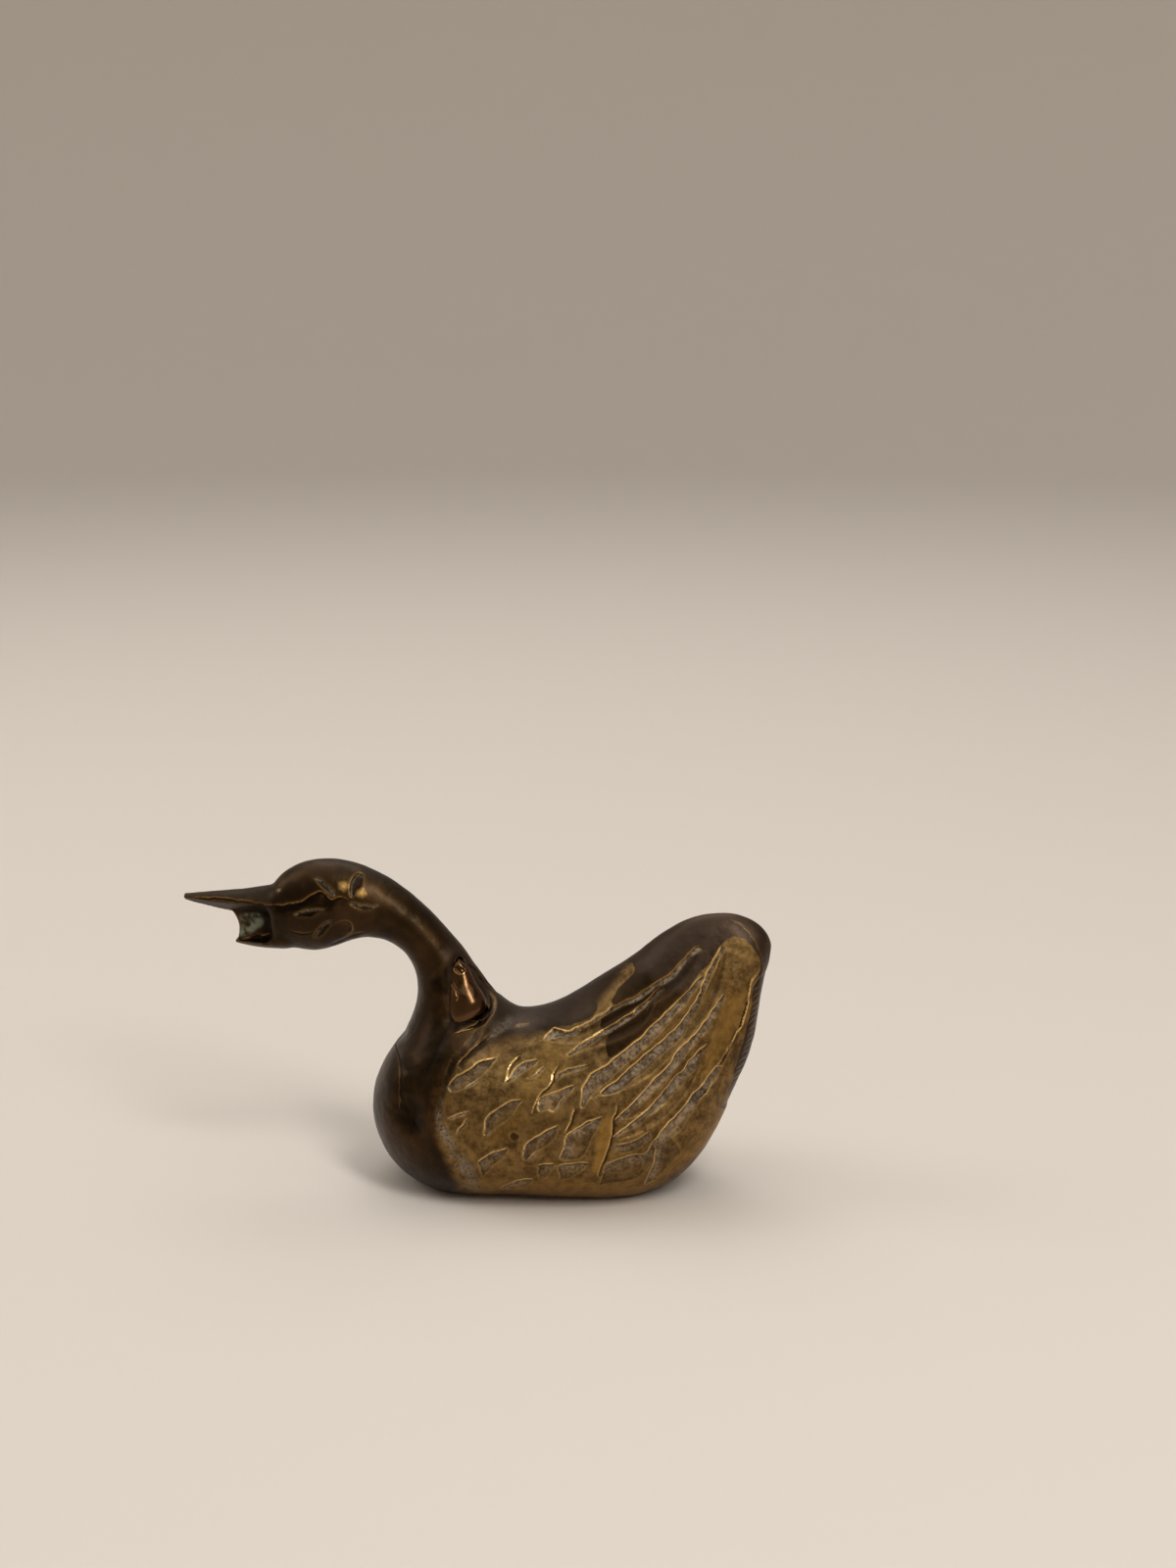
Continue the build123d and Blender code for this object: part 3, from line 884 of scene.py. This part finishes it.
# Painted shade at the mouth's corner.
stain(blank, "painted_shade_and_dirt", head_print, mouth_corner, soft=3, strength=0.9)
lip = [(430, 612), (480, 602), (560, 590), (625, 570)]
gouge(blank, head_print, lip, width=1.4, depth=0.10, paste=0.0, burnish_and_highlight=1.2)
cheek_curve = [(760, 545), (800, 572), (870, 577), (915, 560)]
gouge(blank, head_print, cheek_curve, width=2.0, depth=0.10, paste=0.0, burnish_and_highlight=0.2)
jaw_line = [(1020, 650), (1100, 622), (1180, 592), (1260, 560)]
gouge(blank, head_print, jaw_line, width=3.0, depth=0.16, paste=0.0, burnish_and_highlight=0.0)
cheek_hollow = [
    (660, 396), (800, 385), (900, 345), (955, 318), (1005, 355), (1050, 385), (1030, 410), (900, 405),
    (780, 440), (700, 455), (655, 425)]
# The cheek's hollow is also darkened with painted shade.
dent(blank, head_print, cheek_hollow, depth=0.10, soft=5, name="painted_shade_and_dirt")
mouth_floor = [
    (420, 455), (470, 440), (530, 436), (570, 450), (575, 490), (556, 530), (510, 560), (430, 590)]
stain(blank, "green", head_print, mouth_floor, soft=2.4, strength=0.9)
# Painted shade at the mouth's end.
mouth_end = [(560, 400), (650, 395), (690, 440), (690, 520), (650, 590), (590, 620), (570, 560)]
stain(blank, "painted_shade_and_dirt", head_print, mouth_end, soft=5, strength=0.9)
bump_wide, bump_high = 24, 20
# Two painted highlights on the polished bumps between the star's cuts.
for bump in [(1112, 256), (1232, 302)]:
    bump_round = [(bump[0] + bump_wide * math.cos(t), bump[1] + bump_high * math.sin(t))
                  for t in (0, 1.26, 2.51, 3.77, 5.03)]
    stain(blank, "glow", head_print, bump_round, soft=4.5, strength=0.9)
so_far(blank, "head")

# %% [markdown]
# ## Neck and breast
#
# The breast has a filed crease down its front, a hollow behind it, and a long valley that comes down
# from the boss. The boss stands in a hollow of its own, with a channel round its rear. The crease, the
# deep hollow, the valley and the boss's hollow and recess are darkened with painted shade. Between the
# breast and the wing runs the brazed seam: the file could not reach it, so it is pitted and full of
# grey flux. Noise breaks the band up, because no two pits are the same.

# %% Valleys and creases
valley = [
    (880, 930), (830, 960), (800, 1020), (760, 1120), (690, 1210), (625, 1290), (600, 1400), (640, 1500),
    (760, 1450), (800, 1300), (850, 1150), (900, 1080), (930, 1010)]
# Painted shade darkens the valley.
dent(blank, neck_print, valley, depth=0.26, soft=11, name="painted_shade_and_dirt")
breast_hollow = [
    (300, 300), (360, 360), (440, 430), (500, 560), (520, 720), (500, 860), (440, 950), (370, 930),
    (300, 860), (268, 770), (296, 650), (306, 520), (300, 400)]
dent(blank, breast_print, breast_hollow, depth=0.30, soft=13)
deep_hollow = [(276, 745), (330, 700), (420, 720), (480, 800), (460, 930), (380, 930), (305, 860)]
# Painted shade darkens the deep hollow.
dent(blank, breast_print, deep_hollow, depth=0.34, soft=10, name="painted_shade_and_dirt")
crease = [(250, 200), (285, 280), (298, 400), (304, 520), (300, 650), (286, 765)]
crease_width = 26
crease_back = [(x + crease_width, y) for x, y in crease]
# Painted shade darkens the crease's floor.
trough(blank, breast_print, crease, crease_back, depth=0.26, paste=0.0, burnish_and_highlight=0.3, rise=0.8, painted_shade_and_dirt=0.9)
throat_step = [(180, -60), (280, -10), (340, 60), (350, 130), (300, 170), (240, 168), (190, 110), (120, 40)]
dent(blank, breast_print, throat_step, depth=0.28, soft=7, all_round=True)
groove_rim = [
    (1300, 705), (1328, 780), (1322, 850), (1290, 912), (1250, 960), (1180, 1020), (1090, 1060),
    (1000, 1082), (915, 1112)]
ledge(blank, neck_print, groove_rim, width=3.5, depth=0.14, burnish_and_highlight=0.8)

boss_left = [
    (955, 362), (895, 430), (866, 510), (858, 600), (850, 700), (842, 800), (842, 900), (860, 990),
    (915, 1072)]
boss_right = [
    (965, 362), (1062, 445), (1096, 520), (1136, 600), (1185, 670), (1228, 745), (1245, 820), (1226, 905),
    (1160, 985), (1070, 1045), (940, 1074)]
boss_channel = [
    (1060, 420), (1130, 480), (1190, 560), (1250, 640), (1296, 730), (1312, 820), (1285, 910), (1200, 1000),
    (1090, 1062), (980, 1100), (900, 1150)]
gouge(blank, neck_print, boss_channel, width=3.2, depth=0.42, paste=0.0, burnish_and_highlight=0.0)
dent(blank, neck_print, boss_left + boss_right[::-1], depth=0.34, soft=8)
# Painted shade round the boss and in its recess.
stain(blank, "painted_shade_and_dirt", neck_print, boss_left + boss_right[::-1], soft=5)
boss_recess = [(700, 600), (770, 540), (850, 470), (872, 560), (866, 690), (810, 740), (730, 690)]
dent(blank, neck_print, boss_recess, depth=0.16, soft=6, name="painted_shade_and_dirt")
so_far(blank, "neck and breast")

# %% The pitted seam


def lumps(places, scale, octaves=4):
    """Rough noise about zero, at a scale in millimetres."""
    return np.array([noise.fractal(Vector(place) / scale, 0.8, 2.1, octaves) for place in places])


seam = [
    (455, 120), (420, 200), (330, 300), (235, 420), (190, 560), (150, 700), (135, 820), (165, 930),
    (225, 1040), (290, 1150), (350, 1240), (400, 1370)]
seam_width = 10
seam_sink, pit_depth, pit_scale = 0.05, 0.20, 0.8
index, distance, side, along = along_line(blank, coverts_print, seam, seam_width)
rough = lumps(blank.folded[index], pit_scale)
low_share = eased(along, 0.35, 0.7)
reach = 3.0 + 4.5 * eased(along, 0.45, 0.95)
band = np.clip(1.4 - distance / reach, 0, 1)
blank.cut(index, band * (seam_sink + pit_depth * np.clip(rough + 0.2, 0, 1) * low_share))
blank.mark("flux", index, band * low_share * np.clip(0.75 + 1.5 * rough, 0, 1))
blank.mark("paste", index, band * low_share * np.clip(2.5 * rough - 0.6, 0, 1))
behind_seam = np.clip(1.2 - np.abs(distance - 7) / 5, 0, 1) * (side > 0)
blank.mark("ruddy", index, behind_seam * eased(along, 0.2, 0.5))
pitted = np.clip(1 - distance / 11, 0, 1) * eased(along, 0.1, 0.4)
blank.sink[index] += seam_sink * pitted * np.clip(rough * 1.5, 0, 1) * blank.facing[index]
so_far(blank, "seam")

# %% Sink every mark
uneven_mm, uneven_scale = 0.05, 2.2
blank.sink += uneven_mm * np.clip(0.5 + lumps(blank.folded, uneven_scale, 2), 0, 1)
worked = blank.points - blank.normals * blank.sink[:, None]
worked = blank.links.smoothed(worked, 1, 0.25)
so_far(blank, "with the hammered unevenness")

# %% [markdown]
# ## Where the lacquer went
#
# The duck was once lacquered dark all over. The wing is worn to brass, but on the back the lacquer
# still ends in a sharp, tongued edge. The bare field is drawn as one patch with that edge, and it
# counts only as far as a second, softer patch says that the wing goes.

# %% Lacquer, bare brass, painted sheen, and bright gold with painted highlights
bare_wing = [
    (-600, 300), (-300, 480), (-60, 640), (60, 642), (150, 622), (225, 590), (250, 545), (240, 480),
    (275, 410), (330, 345), (385, 318), (430, 318), (445, 340), (425, 385), (375, 430), (340, 480),
    (325, 515), (335, 532), (300, 570), (268, 610), (265, 640), (290, 665), (310, 690), (292, 740),
    (310, 800), (350, 790), (440, 720), (520, 650), (600, 570), (700, 480), (760, 400), (840, 300),
    (890, 225), (960, 180), (1040, 220), (1095, 300), (1090, 360), (1052, 470), (1044, 560), (1012, 700),
    (975, 820), (945, 930), (930, 1000), (935, 1060), (930, 1140), (880, 1240), (780, 1350), (640, 1450),
    (500, 1530), (-600, 1600)]
wing_field = [
    (-200, 700), (-80, 690), (60, 655), (300, 480), (500, 200), (900, 100), (1150, 200), (1150, 900),
    (1000, 1350), (400, 1650), (-380, 1650), (-480, 1440), (-540, 1300), (-570, 1180), (-540, 1000),
    (-470, 880), (-340, 780)]
stain(blank, "bare", primaries_print, bare_wing, soft=0.6)
stain(blank, "wing", primaries_print, wing_field, soft=7)
blank.marks["bare"] = blank.marks["bare"] * blank.marks["wing"]
back_lacquer_and_sheen = [
    (-330, 640), (-200, 660), (-60, 640), (60, 632), (150, 612), (225, 580), (240, 530), (236, 470),
    (300, 350), (380, 300), (440, 320), (700, 480), (800, 380), (900, 220), (1100, 350), (1180, 200),
    (1080, 60), (800, 0), (500, 140), (200, 380), (-200, 460), (-400, 300), (-480, 200), (-540, 300),
    (-420, 520)]
# The back's lacquer gets a plum-grey tone, partly a painted sheen of the pale surroundings.
stain(blank, "plum_lacquer_and_sheen", primaries_print, back_lacquer_and_sheen, soft=7)
pale_rub = [(495, 215), (560, 130), (620, 70), (690, 65), (680, 130), (600, 195), (540, 225)]
stain(blank, "paste", coverts_print, pale_rub, soft=4, strength=0.16)
dim_field = [
    (500, 240), (620, 150), (760, 150), (840, 180), (800, 240), (700, 290), (560, 360), (420, 560),
    (260, 640), (200, 560), (330, 420), (430, 300)]
# A darker field over the front coverts.
stain(blank, "painted_shade_and_dirt", coverts_print, dim_field, soft=4, strength=0.55)
bar_glow = [
    (285, 1120), (330, 1110), (325, 1180), (312, 1240), (285, 1325), (260, 1390), (228, 1390), (245, 1280),
    (265, 1180)]
lower_glow = [
    (-360, 1440), (150, 1440), (300, 1470), (460, 1450), (560, 1400), (700, 1300), (790, 1200), (860, 1120),
    (920, 1100), (860, 1240), (700, 1360), (500, 1500), (380, 1560), (-360, 1560)]
covert_glow = [
    (-20, 690), (110, 800), (60, 900), (-60, 1000), (-120, 1120), (-250, 1240), (-330, 1180), (-180, 980),
    (-60, 800)]
# Brighter gold on the bar, low on the wing and on the coverts: partly worn brass, partly painted
# highlights.
stain(blank, "glow", primaries_print, bar_glow, soft=2.5, strength=0.8)
stain(blank, "glow", primaries_print, lower_glow, soft=6, strength=0.6)
stain(blank, "glow", primaries_print, covert_glow, soft=8, strength=0.35)
print("share of the skin that is bare:", round(float(blank.marks["bare"].mean()), 3))

# %% [markdown]
# ## Wear, dirt, painted shade and painted highlights, measured
#
# Hands polish what stands up, and dirt stays in what lies deep. The shader also paints highlights on
# what stands up and painted shade in what lies deep. Comparing the carved skin with a smoothed copy of
# itself gives both at once: a point above the smooth skin is an edge, and one below it lies in a
# groove. The values are stored on the points, where the shader reads them.

# %% Ridges and hollows
mark_names = ("paste", "rim", "bare", "plum_lacquer_and_sheen", "glow", "green", "ruddy", "flux", "painted_shade_and_dirt")
edge_mm, rise_mm, dip_mm = 0.03, 0.10, 0.12


def wear_and_shade_of(blank, shape):
    """The marks on a blank, with its edges and hollows at two widths."""
    normals = point_normals(shape, blank.quads)
    fine = ((shape - blank.links.smoothed(shape, 5, 0.6)) * normals).sum(1)
    broad = ((shape - blank.links.smoothed(shape, 40, 0.6)) * normals).sum(1)
    none = np.zeros(len(shape))
    fields = {name: np.clip(blank.marks.get(name, none), 0, 1.6) for name in mark_names}
    fields["edge"] = np.clip(fine / edge_mm, 0, 1)
    fields["hollow"] = np.clip(-fine / edge_mm, 0, 1)
    fields["rise"] = np.clip(broad / rise_mm, 0, 1)
    fields["dip"] = np.clip(-broad / dip_mm, 0, 1)
    return fields


fields = wear_and_shade_of(blank, worked)
print("stored:", {name: round(float(values.mean()), 3) for name, values in fields.items()})

# %% [markdown]
# ## The aged brass
#
# One material carries lacquer, bare brass, dried paste and verdigris, together with painted shade in
# the hollows and painted highlights on edges and rims, mixed by what was stored on the points, so that
# the finish runs over the seams as it does on the real bird. Noise at several sizes keeps any patch from
# being flat: cloudy lacquer, mottled brass and the fine grain of the casting.

# %% A finish that follows the wear


def aged_brass_and_painted_light(name, polish=0.0, warmth=0.0):
    """Brass with lacquer, wear, dirt, painted shade and painted highlights, driven by what is stored on the
    points.
    """
    material, shader, shade = new_material(name)
    place = shade.node("ShaderNodeTexCoord", out="Object")

    def cloud(per_metre, detail, rough=0.6):
        values = {"Vector": place, "Scale": per_metre, "Detail": detail, "Roughness": rough}
        return shade.node("ShaderNodeTexNoise", values=values, out="Fac")

    wide, middle, small = cloud(170.0, 3.0), cloud(1000.0, 4.0), cloud(3200.0, 3.0)
    got = {key: shade.painted(key) for key in (*mark_names, "edge", "hollow", "rise", "dip")}

    lacquer = shade.blend(wide.step(0.35, 0.68), colour(38, 27, 15), colour(58, 41, 24))
    # Plum-grey lacquer on the back, partly a painted sheen.
    lacquer = shade.blend(got["plum_lacquer_and_sheen"] * 0.85, lacquer, colour(66, 53, 43))
    lacquer = shade.blend(got["ruddy"] * 0.7 * middle.step(0.3, 0.7), lacquer, colour(104, 70, 38))
    # Painted shade, with some dirt, darkens hollows, grooves and the marked recesses.
    shade_and_grime = got["painted_shade_and_dirt"] * 0.7 + got["dip"] * 0.4 + got["hollow"] * 0.5
    lacquer = shade.blend(shade_and_grime.clipped(), lacquer, colour(24, 17, 9))
    # Rubbed lacquer on edges and rims, brightened further as a painted highlight.
    rubbed_and_highlit = got["rise"] * 0.05 + got["edge"] * 0.10 + got["rim"] * 0.7
    lacquer = shade.blend(rubbed_and_highlit.clipped(), lacquer, colour(170, 128, 68))
    # Bright gold over the lacquer, partly a painted highlight.
    lacquer = shade.blend(got["glow"].clipped() * 0.9, lacquer, colour(214, 168, 96))

    tone = (middle * 0.5 + small * 0.25 + wide * 0.25).step(0.36, 0.64)
    brass = shade.blend(tone, colour(78, 57, 31), colour(138, 108, 64))
    brass = shade.blend(cloud(420.0, 4.0).step(0.52, 0.70) * 0.55, brass, colour(62, 44, 25))
    brass = shade.blend(cloud(640.0, 5.0, 0.7).step(0.56, 0.72) * 0.40, brass, colour(128, 108, 82))
    # Bright gold over the brass, partly a painted highlight.
    glow = (got["glow"] * (0.35 + 0.8 * middle)).clipped()
    brass = shade.blend(glow * 0.8, brass, colour(172, 130, 60))
    # Painted shade, with some dirt, darkens hollows, grooves and the marked recesses.
    shade_and_grime = got["painted_shade_and_dirt"] * 0.75 + got["dip"] * 0.6 + got["hollow"] * 0.6
    brass = shade.blend(shade_and_grime.clipped(), brass, colour(62, 42, 24))
    # Burnished brass on edges and rims, brightened further as a painted highlight.
    rubbed_and_highlit = got["rim"] + got["edge"] * 0.22
    brass = shade.blend(rubbed_and_highlit.clipped(), brass, colour(232, 192, 122))

    metal = shade.blend(got["bare"], lacquer, brass)
    metal = shade.blend(warmth, metal, colour(150, 98, 44))
    crust = (got["paste"] * small.step(0.20, 0.50)).clipped()
    chalk = (small * 0.5 + middle * 0.5).step(0.42, 0.62)
    chalk = shade.blend(chalk, colour(112, 92, 68), colour(186, 168, 140))
    base = shade.blend(crust * 0.88, metal, chalk)
    flux = (got["flux"] * small.step(0.3, 0.6)).clipped()
    base = shade.blend(flux * 0.75, base, colour(128, 114, 96))
    verdigris = (got["green"] * middle.step(0.35, 0.62)).clipped()
    base = shade.blend(verdigris * 0.85, base, colour(126, 134, 110))
    dull = (crust + flux + verdigris).clipped()
    feed(base, shader, "Base Color")
    feed((1.0 - dull * 0.9).clipped(), shader, "Metallic")
    rough = 0.35 + small * 0.14 + got["bare"] * 0.05 + got["plum_lacquer_and_sheen"] * 0.06 - got["rim"] * 0.18
    feed((rough - polish * 0.25 + dull * 0.4).clipped(), shader, "Roughness")
    grain = {"Strength": 0.3 * (1 - polish), "Distance": 0.15 * mm}
    grain["Height"] = small * 0.5 + cloud(1300.0, 3.0)
    feed(shade.node("ShaderNodeBump", values=grain), shader, "Normal")
    coat = (1.0 - got["bare"]) * (1.0 - dull).clipped() * (0.05 + polish * 0.3)
    feed(coat.clipped(), shader, "Coat Weight")
    shader.inputs["Coat Roughness"].default_value = 0.22 - polish * 0.12
    return material


skin_material = aged_brass_and_painted_light("aged_brass_and_painted_light")
print("nodes in the finish:", len(skin_material.node_tree.nodes))

# %% [markdown]
# ## Handing the skin back to the castings
#
# Each quad goes to the casting whose surface lies nearest below it. The plate and the pins were only
# in the skin to keep it closed, so their patches are dropped, and they get pieces of their own. A patch
# would show a paper edge at a joint, so a narrow wall runs inward along its rim, like the casting's own
# thickness. A whole second skin inside would cost as many points again, and nobody could see it.

# %% Cut the skin apart
wall_mm = 0.6


def walled(points, quads, stored):
    """An open patch with a narrow wall that runs inward from its rim, and what is stored on both."""
    edges = edges_of(quads)
    _, first, times = np.unique(np.sort(edges, axis=1), axis=0, return_index=True, return_counts=True)
    once = edges[first[times == 1]]
    rim = np.unique(once)
    inward = point_normals(points, quads)[rim] * wall_mm
    outer = len(points) + np.searchsorted(rim, once)
    inner = outer + len(rim)
    walls = np.stack([outer[:, 1], outer[:, 0], inner[:, 0], inner[:, 1]], axis=1)
    points = np.concatenate([points, points[rim], points[rim] - inward])
    stored = {key: np.concatenate([values, values[rim], values[rim]]) for key, values in stored.items()}
    return points, np.concatenate([quads, walls]), stored


def new_piece(name, points, quads, stored, material):
    """A visible piece from points in millimetres, in its material, with a number stored per mark."""
    points, quads, stored = walled(points, quads, stored)
    mesh = bpy.data.meshes.new(name)
    mesh.from_pydata((points * mm).tolist(), [], quads.tolist())
    mesh.shade_smooth()
    for key, values in stored.items():
        kept = mesh.attributes.new(key, "FLOAT", "POINT").data
        kept.foreach_set("value", values.astype(np.float32))
    mesh.materials.append(material)
    piece = bpy.data.objects.new(name, mesh)
    bpy.context.scene.collection.objects.link(piece)
    return piece


def dressed(piece, node):
    """Rides a piece on the body, in the place of its node, and hides the node."""
    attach(piece, "root")
    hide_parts(node)


owner_tree = BVHTree.FromPolygons(cad_points.tolist(), cad_polygons)
centres = skin_points[skin_quads].mean(1)
owners = np.array([cad_owners[owner_tree.find_nearest(Vector(centre))[2]] for centre in centres])
skin_slots = {
    "head_neck_and_breast": "dark_brass",
    "left_wing_shell": "wing_brass",
    "right_wing_shell": "wing_brass",
    "tail": "tail_brass",
}
for node, slot in skin_slots.items():
    quads = skin_quads[owners == node]
    used, local = np.unique(quads, return_inverse=True)
    stored = {key: values[used] for key, values in fields.items()}
    piece = new_piece(node + "_skin", worked[used], local.reshape(-1, 4), stored, skin_material)
    dressed(piece, node)
    print(node, len(quads), "quads")

# %% [markdown]
# ## The small castings
#
# The shoulder bosses are polished redder than the rest, the pins are short plugs ground flush, and
# the plate closes the underside. Each gets a skin of its own. The bosses are first pushed out until
# they fill the drop that was drawn for their hollow, since an outline is easier to read off the
# photograph than a bulge is to guess. Then they are cut with the same strokes: a facet and a small
# drilled pit at the head, darkened inside with painted shade and ringed with a painted highlight, and a
# filed line down the front edge that carries a painted highlight.

# %% Bosses, plate and pins
small_castings = {  # slot, voxel in mm, polish, warmth
    "left_shoulder_boss": ("boss_brass", 0.08, 0.8, 0.18),
    "right_shoulder_boss": ("boss_brass", 0.08, 0.8, 0.18),
    "base_plate": ("foot_brass", 0.15, 0.0, 0.0),
    "core_pins": ("pin_brass", 0.06, 0.2, 0.1),
}
boss_lift = 0.22
boss_fairing = 12
far_trim = 60
boss_facet = [(935, 385), (985, 368), (1095, 450), (1072, 485), (1022, 492), (958, 462)]
pit_steep = [(908, 476), (938, 516), (985, 530), (1024, 502)]
pit_gentle = [(905, 465), (940, 438), (1000, 448), (1035, 482)]
front_line = [(872, 590), (908, 650), (934, 720), (936, 805)]


def fitted(part, print_read, left_marks, right_marks, bands=40):
    """How far each point of a casting moves, in mm, so that the casting fills a drawn outline."""
    left, right = drawn(print_read, left_marks), drawn(print_read, right_marks)
    pixels, _ = seen_at(part.folded)
    rows = (pixels[:, 1] - pixels[:, 1].min()) / np.ptp(pixels[:, 1])
    band = np.minimum((rows * bands).astype(int), bands - 1)
    middles = (np.arange(bands) + 0.5) / bands
    low = np.interp(rows, middles, [pixels[band == k, 0].min() for k in range(bands)])
    high = np.interp(rows, middles, [pixels[band == k, 0].max() for k in range(bands)])
    share = np.clip((pixels[:, 0] - low) / (high - low), 0, 1)
    down = left[0, 1] + rows * (left[-1, 1] - left[0, 1])
    begin = np.interp(down, left[:, 1], left[:, 0])
    right_along = begin + share * (np.interp(down, right[:, 1], right[:, 0]) - begin)
    moved = np.stack([right_along, down], axis=1) - pixels
    depth = (part.folded * mm - eye) @ ahead
    return (moved[:, :1] * across - moved[:, 1:] * upward) * depth[:, None] / focal_px / mm


for node, (slot, voxel, polish, warmth) in small_castings.items():
    node_points, node_polygons = mesh_arrays(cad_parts[node].data)
    part = Blank(*voxel_skin(node_points, node_polygons, voxel))
    if "boss" in node:
        trim = far_trim if node.startswith("right") else 0
        right_marks = boss_right[:1] + [(x - trim, y) for x, y in boss_right[1:]]
        move = fitted(part, neck_print, boss_left, right_marks) - [0, boss_lift, 0]
        part.points = part.links.faired(part.points + move * part.turn, boss_fairing)
        part.look()
        dent(part, neck_print, boss_facet, depth=0.10, soft=3)
        trough(part, neck_print, pit_steep, pit_gentle, depth=0.34, paste=0.0, burnish_and_highlight=1.6, rise=0.0,
               painted_shade_and_dirt=0.9)
        gouge(part, neck_print, front_line, width=1.6, depth=0.14, paste=0.0, burnish_and_highlight=1.2)
    shape = part.points - part.normals * part.sink[:, None]
    piece = new_piece(node + "_skin", shape, part.quads, wear_and_shade_of(part, shape),
                      aged_brass_and_painted_light(node + "_finish", polish, warmth))
    dressed(piece, node)
    print(node, len(part.quads), "quads")
